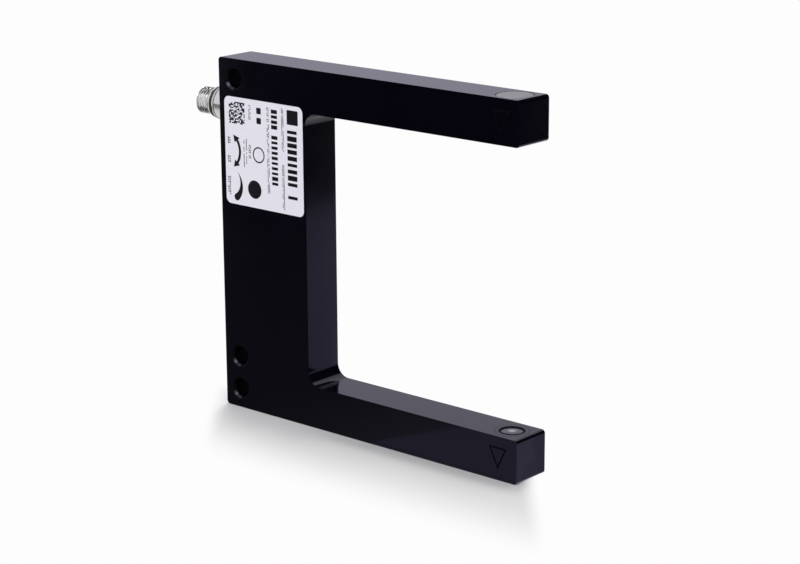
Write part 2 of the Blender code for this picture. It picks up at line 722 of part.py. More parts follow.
def connector_profile():
    """The plug shell's section from its mouth down the outside, then up its bore."""
    mouth = CONNECTOR_REACH
    groove_end = COLLAR_GROOVE_START + COLLAR_GROOVE_WIDTH
    groove_radius = COLLAR_RADIUS - COLLAR_GROOVE_DEPTH
    shoulder_end = SHOULDER_START + SHOULDER_WIDTH
    clip_start = -(SIDE_WALL + SIDE_GAP)
    clip_end = clip_start - CLIP_THICKNESS - 2 * SIDE_GAP
    clip_radius = TAIL_RADIUS - CLIP_GROOVE_DEPTH
    bore = INSERT_RADIUS + SIDE_GAP
    socket_floor = mouth - SOCKET_DEPTH
    return [
        (SOCKET_RADIUS, mouth), (THREAD_RADIUS - THREAD_CHAMFER, mouth), (THREAD_RADIUS, mouth - THREAD_CHAMFER),
        (THREAD_RADIUS, THREAD_START), (RELIEF_RADIUS, THREAD_START), (RELIEF_RADIUS, shoulder_end),
        (SHOULDER_RADIUS, shoulder_end), (SHOULDER_RADIUS, SHOULDER_START), (ORING_NECK_RADIUS, SHOULDER_START),
        (ORING_NECK_RADIUS, COLLAR_LENGTH), (COLLAR_RADIUS - COLLAR_CHAMFER, COLLAR_LENGTH),
        (COLLAR_RADIUS, COLLAR_LENGTH - COLLAR_CHAMFER), (COLLAR_RADIUS, groove_end),
        (groove_radius, groove_end), (groove_radius, COLLAR_GROOVE_START), (COLLAR_RADIUS, COLLAR_GROOVE_START),
        (COLLAR_RADIUS, COLLAR_SEAT_GAP), (TAIL_RADIUS, COLLAR_SEAT_GAP), (TAIL_RADIUS, clip_start),
        (clip_radius, clip_start), (clip_radius, clip_end), (TAIL_RADIUS, clip_end), (TAIL_RADIUS, -TAIL_LENGTH),
        (bore, -TAIL_LENGTH), (bore, socket_floor), (SOCKET_RADIUS, socket_floor),
    ]


def pin_places():
    """Side and up offsets of the plug's pins from its axis."""
    for index in range(PIN_COUNT):
        angle = math.pi / 2 + index * 2 * math.pi / PIN_COUNT
        yield index + 1, PIN_CIRCLE_RADIUS * math.cos(angle), PIN_CIRCLE_RADIUS * math.sin(angle)


def make_connector():
    """The plug: shell, contact carrier, pins, sealing ring and the clip behind the back wall."""
    root = at(0, 0, CONNECTOR_HEIGHT)
    turned("connector_shell", connector_profile(), NICKEL, root, FACING_BACK, ring=True)
    top = CONNECTOR_REACH - SOCKET_DEPTH + INSERT_RISE
    length = top + TAIL_LENGTH
    insert = cylinder("connector_insert", INSERT_RADIUS, length, BLACK_PLASTIC,
                      at(length / 2 - top, 0, CONNECTOR_HEIGHT), FACING_BACK)
    pin_top = CONNECTOR_REACH - PIN_SETBACK
    pin_length = pin_top + TAIL_LENGTH + PIN_TAIL
    for index, side, up in pin_places():
        middle = at(pin_length / 2 - pin_top, side, CONNECTOR_HEIGHT + up)
        cylinder(f"connector_pin_{index}", PIN_RADIUS, pin_length, GOLD_PLATE, middle, FACING_BACK,
                 sides=PIN_SIDES)
        hole = cylinder(f"pin_hole_cutter_{index}", PIN_RADIUS + SIDE_GAP, 2 * pin_length, None, middle,
                        FACING_BACK, CUTTERS, sides=PIN_SIDES)
        cut(insert, hole)
    key_start = top - KEY_HEIGHT
    key = box("insert_key", (KEY_LENGTH, KEY_WIDTH, KEY_HEIGHT), None,
              at(-key_start - KEY_LENGTH / 2, 0, CONNECTOR_HEIGHT - INSERT_RADIUS + KEY_HEIGHT / 2), FACING_UP,
              CUTTERS)
    join(insert, key)
    section = arc((ORING_NECK_RADIUS + SIDE_GAP + ORING_WIDTH / 2, 0), ORING_WIDTH / 2, math.pi / 2,
                  -3 * math.pi / 2, ORING_SIDES)[:-1]
    middle = (COLLAR_LENGTH + SHOULDER_START) / 2
    turned("connector_oring", section, BLACK_RUBBER, at(-middle, 0, CONNECTOR_HEIGHT), FACING_BACK, ring=True)
    half_mouth = CLIP_MOUTH_ANGLE / 2
    inner = TAIL_RADIUS - CLIP_GROOVE_DEPTH + SIDE_GAP
    ring = arc((0, 0), CLIP_RADIUS, half_mouth, 2 * math.pi - half_mouth, SMALL_SIDES)
    ring += arc((0, 0), inner, 2 * math.pi - half_mouth, half_mouth, SMALL_SIDES)
    clip_middle = SIDE_WALL + 2 * SIDE_GAP + CLIP_THICKNESS / 2
    flat_piece("connector_clip", [ring], CLIP_THICKNESS, STEEL, at(clip_middle, 0, CONNECTOR_HEIGHT), FACING_BACK)


def make_adjuster(rotor_name, body_name, height, body_material):
    """A slotted rotor set into the back wall and the component on the board that it turns."""
    face = -ROTOR_RECESS
    head_end = -(SIDE_WALL + SIDE_GAP)
    stem_end = head_end - ROTOR_STEM_LENGTH
    profile = [(0, face), (ROTOR_RADIUS, face), (ROTOR_RADIUS, head_end), (ROTOR_STEM_RADIUS, head_end),
               (ROTOR_STEM_RADIUS, stem_end), (0, stem_end)]
    rotor = turned(rotor_name, profile, WHITE_PLASTIC, at(0, 0, height), FACING_BACK, sides=ROUND_SIDES)
    slot = box(rotor_name + "_slot_cutter", (2 * ROTOR_SLOT_DEPTH, ROTOR_SLOT_WIDTH, 4 * ROTOR_RADIUS), None,
               at(ROTOR_RECESS, 0, height), FACING_UP, CUTTERS)
    cut(rotor, slot)
    tip = ROTOR_RADIUS - POINTER_RIM
    base = tip - POINTER_LENGTH
    arrow = [(tip, 0), (base, POINTER_WIDTH / 2), (base, -POINTER_WIDTH / 2)]
    cut(rotor, flat_piece(rotor_name + "_pointer_cutter", [arrow], 2 * POINTER_DEPTH, None,
                          at(ROTOR_RECESS, 0, height), FACING_BACK, CUTTERS))
    start = SIDE_WALL + SIDE_GAP + SEAT_GAP
    size = (ADJUSTER_BODY_LENGTH, ADJUSTER_BODY_WIDTH, ADJUSTER_BODY_HEIGHT)
    middle_side = BOARD_REAR_Y + SEAT_GAP + ADJUSTER_BODY_WIDTH / 2
    body = box(body_name, size, body_material, at(start + ADJUSTER_BODY_LENGTH / 2, middle_side, height))
    depth = ROTOR_STEM_LENGTH + SEAT_GAP
    bore = cylinder(body_name + "_bore_cutter", ROTOR_STEM_RADIUS + SIDE_GAP, 2 * depth, None,
                    at(start, 0, height), FACING_BACK, CUTTERS, sides=SMALL_SIDES)
    cut(body, bore)


def make_indicator():
    """The status light's window, flanged inside the wall, and the light behind it."""
    flange_top = -(SIDE_WALL + SIDE_GAP)
    bottom = flange_top - INDICATOR_FLANGE_THICKNESS
    profile = [
        (0, -FILM_GAP), (INDICATOR_RADIUS, -FILM_GAP), (INDICATOR_RADIUS, flange_top),
        (INDICATOR_FLANGE_RADIUS, flange_top), (INDICATOR_FLANGE_RADIUS, bottom), (0, bottom),
    ]
    turned("indicator_lens", profile, AMBER_PLASTIC, at(0, 0, INDICATOR_HEIGHT), FACING_BACK, sides=SMALL_SIDES)
    width = SEAT_GAP + INDICATOR_LED_SIZE / 2 - (BOARD_REAR_Y + SEAT_GAP)
    size = (INDICATOR_LED_LENGTH, width, INDICATOR_LED_SIZE)
    start = -bottom + SEAT_GAP
    middle = at(start + INDICATOR_LED_LENGTH / 2, BOARD_REAR_Y + SEAT_GAP + width / 2, INDICATOR_HEIGHT)
    box("indicator_led", size, WHITE_PLASTIC, middle)


def on_board(thickness, place_along_board):
    """The middle of a component of that thickness standing on the board's rear side."""
    depth, height = place_along_board
    side = BOARD_REAR_Y + SEAT_GAP + thickness / 2
    return at(BOARD_BACK_END + depth, side, BOARD_LOW_END + height)


def make_board():
    """The main board on its pads, with its larger components."""
    far_end = BOARD_BACK_END + BOARD_WIDTH
    corner = BOARD_CORNER_RADIUS
    outline = rounded([
        (BOARD_BACK_END, BOARD_LOW_END, corner),
        (far_end, BOARD_LOW_END, corner),
        (far_end, BOARD_TOP_END, corner),
        (BOARD_BACK_END, BOARD_TOP_END, corner),
    ])
    holes = [circle(*middle, BOARD_SCREW_RADIUS + SIDE_GAP, PIN_SIDES) for middle in board_screw_places()]
    side_plate("main_board", [outline] + holes, BOARD_FRONT_Y, BOARD_REAR_Y, BOARD_GREEN)
    head_low = BOARD_REAR_Y + SEAT_GAP / 2
    head_high = head_low + BOARD_SCREW_HEAD_HEIGHT
    foot = POCKET_FLOOR_Y + PAD_HEIGHT - BOARD_SCREW_BITE
    profile = [
        (0, head_high), (BOARD_SCREW_HEAD_RADIUS, head_high), (BOARD_SCREW_HEAD_RADIUS, head_low),
        (BOARD_SCREW_RADIUS, head_low), (BOARD_SCREW_RADIUS, foot), (0, foot),
    ]
    for index, (depth, height) in enumerate(board_screw_places(), 1):
        turned(f"board_screw_{index}", profile, STEEL, at(depth, 0, height), FACING_REAR, sides=PIN_SIDES)
    for name, (size, middle) in BOARD_COMPONENTS.items():
        box(name, size, CHIP_BLACK, on_board(size[1], middle))
    cylinder("storage_capacitor", CAPACITOR_RADIUS, CAPACITOR_LENGTH, STEEL,
             on_board(CAPACITOR_LENGTH, CAPACITOR_PLACE), FACING_REAR, sides=SMALL_SIDES)


def wire(name, places, radius, material):
    """A round wire with closed ends through the given places."""
    curve = bpy.data.curves.new(name, "CURVE")
    curve.dimensions = "3D"
    curve.bevel_depth = radius
    curve.bevel_resolution = 2
    curve.use_fill_caps = True
    spline = curve.splines.new("POLY")
    spline.points.add(len(places) - 1)
    for point, location in zip(spline.points, places):
        point.co = (*location, 1.0)
    made = bpy.data.objects.new(name, curve)
    curve.materials.append(material)
    SENSOR.objects.link(made)
    return made


def smooth_route(corners, per_leg=WIRE_STEPS):
    """A smooth run through a few corners, by a Catmull-Rom curve."""
    ends = [corners[0] * 2 - corners[1]] + corners + [corners[-1] * 2 - corners[-2]]
    route = []
    for leg in range(len(corners) - 1):
        p0, p1, p2, p3 = ends[leg:leg + 4]
        for step in range(per_leg):
            t = step / per_leg
            route.append(0.5 * (2 * p1 + (p2 - p0) * t + (2 * p0 - 5 * p1 + 4 * p2 - p3) * t * t
                                + (3 * p1 - p0 - 3 * p2 + p3) * t ** 3))
    route.append(corners[-1])
    return route


def make_connector_leads():
    """Short wires from the plug's pins down to the board."""
    start = TAIL_LENGTH + PIN_TAIL + SEAT_GAP
    for index, side, up in pin_places():
        land = BOARD_BACK_END + LEAD_FIRST_PLACE + (index - 1) * LEAD_PITCH
        level = BOARD_REAR_Y + SIDE_GAP + WIRE_RADIUS
        route = smooth_route([
            at(start, side, CONNECTOR_HEIGHT + up),
            at(start + LEAD_STRAIGHT, side, CONNECTOR_HEIGHT + up),
            at(land + LEAD_STRAIGHT / 2, (side + level) / 2, BOARD_TOP_END + LEAD_LAP / 2),
            at(land, level, BOARD_TOP_END - LEAD_LAP),
        ])
        wire(f"connector_lead_{index}", route, WIRE_RADIUS, WIRE_BLUE)


def make_arm_wires(name, upper, material):
    """Two wires from the board along the arm's pocket to the optics board in the tip."""
    gap_face, inward = arm_frame(upper)
    level = gap_face + inward * wire_level()
    board_end = BOARD_TOP_END if upper else BOARD_LOW_END
    rear = BOARD_REAR_Y + SIDE_GAP + WIRE_RADIUS
    for index, side in ((1, -WIRE_SPACING / 2), (2, WIRE_SPACING / 2)):
        start = BOARD_BACK_END + BOARD_WIDTH - index * WIRE_END_INSET
        bend = SPINE_WIDTH - WIRE_BEND_LENGTH / 2
        route = smooth_route([
            at(start, rear, board_end - inward * WIRE_LAP),
            at(start, rear, board_end),
            at(bend, side, level - inward * WIRE_BEND_DROP),
            at(bend + WIRE_BEND_LENGTH, side, level - inward * WIRE_EASE_DROP),
            at(bend + 2 * WIRE_BEND_LENGTH, side, level),
        ])
        route.append(at(BEAM_DEPTH - WIRE_END_INSET, side, level))
        wire(f"{name}_wire_{index}", route, WIRE_RADIUS, material)


def make_optics(name, upper):
    """Lens, barrel, diode, board and closing cap of one arm tip, stacked from the gap face."""
    gap_face = arm_frame(upper)[0]
    turn = FACING_UP if upper else FACING_DOWN
    root = at(BEAM_DEPTH, 0, gap_face)
    flange_low = LENS_LEDGE + SIDE_GAP
    flange_high = flange_low + LENS_FLANGE_THICKNESS
    dome_radius = (LENS_RADIUS ** 2 + LENS_DOME ** 2) / (2 * LENS_DOME)
    reach = math.asin(LENS_RADIUS / dome_radius)
    dome = []
    for step in range(DOME_STEPS + 1):
        angle = reach * (1 - step / DOME_STEPS)
        rise = dome_radius - dome_radius * math.cos(angle)
        dome.append((dome_radius * math.sin(angle), LENS_RECESS + rise))
    lens = [(0, flange_high), (LENS_FLANGE_RADIUS, flange_high), (LENS_FLANGE_RADIUS, flange_low),
            (LENS_RADIUS, flange_low)]
    turned(name + "_lens", lens + dome, LENS_PLASTIC, root, turn)
    board_low = optic_board_bottom()
    board_high = board_low + OPTIC_BOARD_THICKNESS
    low = flange_high + SEAT_GAP
    high = board_low - SIDE_GAP
    outer = LENS_FLANGE_RADIUS
    inner = outer - BARREL_WALL
    turned(name + "_barrel", [(outer, high), (outer, low), (inner, low), (inner, high)], BLACK_PLASTIC, root,
           turn, sides=SMALL_SIDES, ring=True)
    foot = high - DIODE_FOOT_HEIGHT
    tip = high - DIODE_LENGTH
    shoulder = tip + DIODE_RADIUS
    point = arc((0, shoulder), DIODE_RADIUS, 0, -math.pi / 2, DOME_STEPS)[:-1] + [(0, tip)]
    turned(name + "_diode", [(0, high), (DIODE_FOOT_RADIUS, high), (DIODE_FOOT_RADIUS, foot),
                             (DIODE_RADIUS, foot)] + point, WHITE_PLASTIC, root, turn, sides=SMALL_SIDES)
    turned(name + "_board", [(0, board_high), (outer, board_high), (outer, board_low), (0, board_low)],
           BOARD_GREEN, root, turn, sides=SMALL_SIDES)
    face = ARM_HEIGHT - CAP_RECESS
    seat = face - CAP_THICKNESS
    stem_end = wire_level() + WIRE_RADIUS + SEAT_GAP
    turned(name + "_cap", [
        (0, face), (CAP_RADIUS - CAP_CHAMFER, face), (CAP_RADIUS, face - CAP_CHAMFER), (CAP_RADIUS, seat),
        (CAP_STEM_RADIUS, seat), (CAP_STEM_RADIUS, stem_end), (0, stem_end),
    ], GREY_PLASTIC, root, turn)


make_housing()
make_label()
make_cover()
for screw_index, (screw_depth, screw_height) in enumerate(screw_places(), 1):
    make_cover_screw(screw_index, screw_depth, screw_height)
make_connector()
make_adjuster("mode_rotor", "mode_switch", MODE_HEIGHT, BLACK_PLASTIC)
make_adjuster("sensitivity_rotor", "sensitivity_pot", SENSITIVITY_HEIGHT, BLACK_PLASTIC)
make_indicator()
make_board()
make_connector_leads()
make_optics("emitter", True)
make_optics("receiver", False)
make_arm_wires("emitter", True, WIRE_RED)
make_arm_wires("receiver", False, WIRE_RED)
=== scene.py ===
# %% [markdown]
# # A fork sensor in its finish
#
# The real object is a black cast fork, 110 mm long and 105 mm high. A beam of light crosses the gap between
# its two arm tips, and whatever breaks the beam is counted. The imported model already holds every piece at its
# true size and place. This script gives the pieces their finish and makes the finer surfaces that a camera
# sees: rounded castings, a rolled thread, a printed label.

import math

import bmesh
import bpy
from mathutils import Euler, Matrix, Vector


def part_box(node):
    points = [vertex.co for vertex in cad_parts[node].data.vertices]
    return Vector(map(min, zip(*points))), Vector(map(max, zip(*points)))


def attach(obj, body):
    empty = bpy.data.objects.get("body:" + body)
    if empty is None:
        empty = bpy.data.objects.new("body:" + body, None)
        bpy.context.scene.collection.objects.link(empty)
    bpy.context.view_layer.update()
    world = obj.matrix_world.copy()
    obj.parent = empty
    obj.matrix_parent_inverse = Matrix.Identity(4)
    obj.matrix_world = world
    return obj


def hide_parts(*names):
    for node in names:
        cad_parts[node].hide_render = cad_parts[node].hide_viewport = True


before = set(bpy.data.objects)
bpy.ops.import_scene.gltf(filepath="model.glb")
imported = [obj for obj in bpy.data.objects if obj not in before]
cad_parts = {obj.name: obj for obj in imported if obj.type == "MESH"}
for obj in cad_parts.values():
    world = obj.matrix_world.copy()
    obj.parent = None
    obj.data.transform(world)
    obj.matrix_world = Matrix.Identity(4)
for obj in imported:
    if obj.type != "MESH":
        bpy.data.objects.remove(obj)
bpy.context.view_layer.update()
BODY = "sensor_body"
print("Pieces in the frame:", len(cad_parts))

# %% [markdown]
# ## The camera comes first
#
# A small product is photographed from far away with a long lens, so that its edges stay nearly parallel. The
# place and the turn below were worked out from the housing's own straight edges. A camera looks along its own
# -Z, so a quarter turn about X makes it level before the tilt is added.

# %% Camera
CAMERA_PLACE = Vector((0.4086, -0.4535, 0.2108))
CAMERA_YAW = math.radians(40.98)
CAMERA_TILT = math.radians(-15.22)
CAMERA_ROLL = math.radians(0.3)
LENS_MM = 100.41
SENSOR_WIDTH_MM = 36.0
OBJECT_MIDDLE = Vector((0, 0, 0.05))


def make_camera():
    """A long lens at the photograph's own viewing angle."""
    data = bpy.data.cameras.new("product_camera")
    data.sensor_width = SENSOR_WIDTH_MM
    data.lens = LENS_MM
    data.clip_start = 0.01
    data.clip_end = 20.0
    camera = bpy.data.objects.new("product_camera", data)
    turn = Matrix.Rotation(CAMERA_YAW, 4, "Z") @ Matrix.Rotation(math.pi / 2 + CAMERA_TILT, 4, "X")
    turn = turn @ Matrix.Rotation(-CAMERA_ROLL, 4, "Z")
    camera.matrix_world = Matrix.Translation(CAMERA_PLACE) @ turn
    bpy.context.scene.collection.objects.link(camera)
    bpy.context.scene.camera = camera


make_camera()
print("Camera is", round((CAMERA_PLACE - OBJECT_MIDDLE).length, 3), "m from the sensor")

# %% [markdown]
# ## Measures
#
# Places on a flat housing are easiest to say as depth from its back face, side from its middle plane and
# height above its base. The frame gives the outer sizes, and the rest are the casting's own dimensions.

# %% Measures
MM = 0.001
HOUSING_LOW, HOUSING_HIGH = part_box("housing")
LABEL_LOW, LABEL_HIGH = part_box("label")
BACK_X = HOUSING_LOW.x
FRONT_Y = HOUSING_LOW.y
REAR_Y = HOUSING_HIGH.y
LENGTH = HOUSING_HIGH.x - HOUSING_LOW.x
THICKNESS = REAR_Y - FRONT_Y
HEIGHT = HOUSING_HIGH.z - HOUSING_LOW.z
ARM_HEIGHT = 12.5 * MM
SPINE_WIDTH = 33.8 * MM
OUTER_CORNER = 1.0 * MM
FORK_CORNER = 4.0 * MM
EDGE_RADIUS = 0.8 * MM
SIDE_WALL = 2.4 * MM
SEAT_GAP = 0.3 * MM
SIDE_GAP = 0.2 * MM
FACING_REAR = (-math.pi / 2, 0, 0)
FACING_BACK = (0, -math.pi / 2, 0)
FACING_UP = (0, 0, 0)
FACING_DOWN = (math.pi, 0, 0)


def at(depth, side, height):
    """A place in the housing's terms as a point of the frame."""
    return Vector((BACK_X + depth, side, height))


def mirrored(height):
    """The same height in the other arm."""
    return HEIGHT - height


print("Housing in mm:", [round(size / MM, 2) for size in (LENGTH, THICKNESS, HEIGHT)])

# %% [markdown]
# ## Tools for shapes
#
# Three ways of making a solid cover this object. A flat casting is a closed outline given a thickness, and a
# 2D curve fills an outline with its holes by itself. A turned piece is a profile spun round an axis. What is
# drilled or milled is taken away with a Boolean. Every mesh is moved to its place, so its object stays at
# the origin.

# %% Outlines
# Sides of a round hole in a plate, of the rounds that the camera sees closely, and of the smallest ones
CIRCLE_SIDES = 48
FINE_SIDES = 96
SMALL_SIDES = 24


def arc(centre, radius, start, end, steps):
    """Points along an arc, both ends included."""
    turn = (end - start) / steps
    return [
        (centre[0] + radius * math.cos(start + turn * step),
         centre[1] + radius * math.sin(start + turn * step))
        for step in range(steps + 1)
    ]


def rounded(corners, steps=16):
    """An outline whose corners, given as (across, up, radius), become arcs."""
    outline = []
    for index, (across, up, radius) in enumerate(corners):
        corner = Vector((across, up))
        before = (Vector(corners[index - 1][:2]) - corner).normalized()
        after = (Vector(corners[(index + 1) % len(corners)][:2]) - corner).normalized()
        half = before.angle(after) / 2
        centre = corner + (before + after).normalized() * radius / math.sin(half)
        first = corner + before * radius / math.tan(half) - centre
        last = corner + after * radius / math.tan(half) - centre
        start = math.atan2(first.y, first.x)
        turn = (math.atan2(last.y, last.x) - start + math.pi) % (2 * math.pi) - math.pi
        outline.extend(arc(centre, radius, start, start + turn, steps))
    return outline


def circle(across, up, radius):
    """A closed round outline."""
    return arc((across, up), radius, 0, 2 * math.pi, CIRCLE_SIDES)[:-1]


def box_outline(left, low, right, high, radius):
    """A rectangle with round corners."""
    corners = [(left, low, radius), (right, low, radius), (right, high, radius), (left, high, radius)]
    return rounded(corners, steps=12)


print("A round corner of a rectangle has", len(box_outline(0, 0, 1, 1, 0.1)) // 4, "points")


# %% Solids
WELD_DISTANCE = 0.001 * MM
SLIVER_WIDTH = 0.0005 * MM


def shown(name, mesh):
    """Puts a mesh into the scene as one object at the origin."""
    made = bpy.data.objects.new(name, mesh)
    bpy.context.scene.collection.objects.link(made)
    return made


def baked(made):
    """Applies an object's modifiers and leaves a plain mesh."""
    graph = bpy.context.evaluated_depsgraph_get()
    mesh = bpy.data.meshes.new_from_object(made.evaluated_get(graph), preserve_all_data_layers=True,
                                           depsgraph=graph)
    made.modifiers.clear()
    made.data = mesh
    return made


def merged(mesh):
    """Joins points that lie on top of each other, and mends the slivers that a cut can leave."""
    shape = bmesh.new()
    shape.from_mesh(mesh)
    bmesh.ops.triangulate(shape, faces=[face for face in shape.faces if len(face.verts) > 4])
    bmesh.ops.remove_doubles(shape, verts=shape.verts, dist=WELD_DISTANCE)
    bmesh.ops.dissolve_degenerate(shape, dist=SLIVER_WIDTH, edges=shape.edges)
    stray = [face for face in shape.faces if all(edge.is_boundary for edge in face.edges)]
    bmesh.ops.delete(shape, geom=stray, context="FACES")
    gaps = [edge for edge in shape.edges if edge.is_boundary]
    bmesh.ops.holes_fill(shape, edges=gaps, sides=8)
    shape.to_mesh(mesh)
    shape.free()
    return mesh


def flat(name, outlines, thickness):
    """A flat solid centred on its own XY plane. The first outline is its edge, the others are holes."""
    curve = bpy.data.curves.new(name, "CURVE")
    curve.dimensions = "2D"
    curve.fill_mode = "BOTH"
    curve.extrude = thickness / 2
    for outline in outlines:
        spline = curve.splines.new("POLY")
        spline.points.add(len(outline) - 1)
        for point, (across, up) in zip(spline.points, outline):
            point.co = (across, up, 0.0, 1.0)
        spline.use_cyclic_u = True
    pattern = shown(name + "_pattern", curve)
    graph = bpy.context.evaluated_depsgraph_get()
    mesh = bpy.data.meshes.new_from_object(pattern.evaluated_get(graph))
    bpy.data.objects.remove(pattern)
    return shown(name, merged(mesh))


def turned(name, profile, sides=64, ring=False):
    """Spins a profile of (radius, height) pairs round Z. A ring's last point joins its first."""
    shape = bmesh.new()
    points = [shape.verts.new((radius, 0, height)) for radius, height in profile]
    links = list(zip(points, points[1:]))
    if ring:
        links.append((points[-1], points[0]))
    edges = [shape.edges.new(link) for link in links]
    bmesh.ops.spin(shape, geom=points + edges, axis=(0, 0, 1), cent=(0, 0, 0), angle=2 * math.pi, steps=sides,
                   use_merge=True)
    bmesh.ops.remove_doubles(shape, verts=shape.verts, dist=WELD_DISTANCE)
    bmesh.ops.recalc_face_normals(shape, faces=shape.faces)
    mesh = bpy.data.meshes.new(name)
    shape.to_mesh(mesh)
    shape.free()
    return shown(name, mesh)


def block(name, size):
    """A plain block centred on the origin, the stock for cutters and small parts."""
    shape = bmesh.new()
    bmesh.ops.create_cube(shape, size=1.0)
    bmesh.ops.scale(shape, vec=size, verts=shape.verts)
    mesh = bpy.data.meshes.new(name)
    shape.to_mesh(mesh)
    shape.free()
    return shown(name, mesh)


def put(made, location, rotation=FACING_UP):
    """Moves the mesh, not the object, to its place."""
    made.data.transform(Matrix.Translation(location) @ Euler(rotation).to_matrix().to_4x4())
    return made


def side_plate(name, outlines, front, rear):
    """A flat solid drawn in the housing's side view, from side=front to side=rear."""
    return put(flat(name, outlines, rear - front), at(0, (front + rear) / 2, 0), (math.pi / 2, 0, 0))


# %% Cutting and shading
SHARP_ANGLE = math.radians(60)


def boolean(target, other, operation="DIFFERENCE"):
    """Takes the other solid out of the target, or joins it on, and uses it up."""
    made = target.modifiers.new(other.name, "BOOLEAN")
    made.operation = operation
    made.solver = "EXACT"
    made.object = other
    merged(baked(target).data)
    bpy.data.objects.remove(other)
    return target


def bevelled(made, width, segments):
    """Rounds the sharp edges of a solid."""
    edges = made.modifiers.new("Edges", "BEVEL")
    edges.width = width
    edges.segments = segments
    edges.limit_method = "ANGLE"
    edges.angle_limit = SHARP_ANGLE
    return baked(made)


def smooth(made, angle):
    """Shades rounds smooth and keeps wide faces flat by weighting the normals with the faces' size."""
    made.data.shade_smooth()
    made.data.set_sharp_from_angle(angle=math.radians(angle))
    weighting = made.modifiers.new("Even shading", "WEIGHTED_NORMAL")
    weighting.keep_sharp = True
    weighting.weight = 100
    return baked(made)


def dressed(made, material, slot, *nodes, body=BODY):
    """Gives a finished piece its material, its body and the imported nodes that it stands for."""
    made.data.materials.clear()
    made.data.materials.append(material)
    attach(made, body)
    if nodes:
        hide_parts(*nodes)
    print(made.name, "has", len(made.data.polygons), "faces")
    return made


def repainted(made, material, chosen):
    """Gives the faces that a test picks, by their middle, another finish of their own."""
    made.data.materials.append(material)
    count = 0
    for face in made.data.polygons:
        if chosen(face.center):
            face.material_index = len(made.data.materials) - 1
            count += 1
    print(material.name, "on", count, "faces of", made.name)
    return made


# %% [markdown]
# ## Shader sums in plain Python
#
# A procedural finish is mostly arithmetic on noise. Written as expressions it stays readable: the Wire class
# holds one output socket, and each operator on it adds one Math node. Everything that isn't arithmetic comes
# from one method, which takes the node's type, its settings and what feeds its sockets.

# %% Wires and graphs
class Wire:
    """An output socket that takes part in Python arithmetic."""

    def __init__(self, graph, socket):
        self.graph = graph
        self.socket = socket

    def combined(self, operation, left, right):
        return self.graph.add("ShaderNodeMath", {"operation": operation}, {0: left, 1: right})

    def __add__(self, other):
        return self.combined("ADD", self, other)

    def __sub__(self, other):
        return self.combined("SUBTRACT", self, other)

    def __rsub__(self, other):
        return self.combined("SUBTRACT", other, self)

    def __mul__(self, other):
        return self.combined("MULTIPLY", self, other)

    def __truediv__(self, other):
        return self.combined("DIVIDE", self, other)

    __radd__ = __add__
    __rmul__ = __mul__


class Graph:
    """Adds nodes to one tree, shader or geometry."""

    def __init__(self, tree):
        self.tree = tree

    def add(self, kind, settings=None, sockets=None, out=0):
        """A node: its settings are made first, then its sockets get their values or wires."""
        node = self.tree.nodes.new(kind)
        for name, value in (settings or {}).items():
            if name == "stops":
                for element, (position, colour) in zip(node.color_ramp.elements, value):
                    element.position = position
                    element.color = colour
            else:
                setattr(node, name, value)
        for name, value in (sockets or {}).items():
            self.feed(node.inputs[name], value)
        return Wire(self, node.outputs[out]) if node.outputs else None

    def feed(self, socket, value):
        """Links a wire to a socket, or writes a plain value into it."""
        if isinstance(value, Wire):
            self.tree.links.new(value.socket, socket)
        else:
            socket.default_value = value


# %% Shared parts of every finish
def new_finish(name, colour, roughness, metallic=0.0):
    """A Principled material with its graph, ready for more."""
    made = bpy.data.materials.new(name)
    made.use_nodes = True
    graph = Graph(made.node_tree)
    shader = made.node_tree.nodes["Principled BSDF"]
    shader.inputs["Base Color"].default_value = (*colour, 1.0)
    shader.inputs["Roughness"].default_value = roughness
    shader.inputs["Metallic"].default_value = metallic
    return made, graph, shader.inputs


def noise(graph, scale, detail=3.0, stretch=None):
    """Noise over the object's own coordinates, from 0 to 1. Stretch scales the three axes."""
    place = graph.add("ShaderNodeTexCoord", out="Object")
    if stretch:
        place = graph.add("ShaderNodeMapping", None, {"Vector": place, "Scale": stretch})
    return graph.add("ShaderNodeTexNoise", None, {"Vector": place, "Scale": scale, "Detail": detail})


def bump(graph, height, distance, strength):
    """A normal that rises and falls with a height, by up to the distance in metres."""
    return graph.add("ShaderNodeBump", None, {"Height": height, "Distance": distance, "Strength": strength})


def between(graph, factor, first, second):
    """A colour from first to second as the factor goes from 0 to 1."""
    return graph.add("ShaderNodeMix", {"data_type": "RGBA"},
                     {0: factor, 6: (*first, 1.0), 7: (*second, 1.0)}, 2)


# %% [markdown]
# ## The black coat
#
# The housing is die-cast and coated black. Close up such a coat is not flat: it has a faint orange peel and
# its gloss varies a little. A very dark base colour gives the depth, and nearly all of what the eye sees is
# reflection, so roughness matters more here than colour.

# %% Black coat
COAT_PEEL = 0.002 * MM


def make_black_coat():
    """The gloss of the coat, with a violet cast in its colour and in what it mirrors face on."""
    made, graph, sockets = new_finish("black_coat", (0.0018, 0.0015, 0.0042), 0.12)
    cloud = noise(graph, 90.0)
    peel = noise(graph, 1500.0, 2.0)
    darker, lighter = (0.0014, 0.0012, 0.0034), (0.0022, 0.0018, 0.005)
    graph.feed(sockets["Base Color"], between(graph, cloud, darker, lighter))
    graph.feed(sockets["Roughness"], 0.09 + 0.05 * cloud + 0.02 * peel)
    graph.feed(sockets["Normal"], bump(graph, peel, COAT_PEEL, 0.3))
    sockets["IOR"].default_value = 1.42
    sockets["Specular Tint"].default_value = (0.86, 0.83, 1.0, 1.0)
    return made


def make_matt_black():
    """Dull black, for engraved lines, and as painted shade on the walls round the lenses and on most of the
    mounting holes' rims.
    """
    made, graph, sockets = new_finish("matt_black_and_shade", (0.0008, 0.0007, 0.0016), 0.8)
    grain = noise(graph, 5000.0, 2.0)
    graph.feed(sockets["Base Color"], between(graph, grain, (0.0005, 0.0004, 0.001), (0.0011, 0.001, 0.0022)))
    graph.feed(sockets["Roughness"], 0.7 + 0.2 * grain)
    sockets["IOR"].default_value = 1.2
    return made


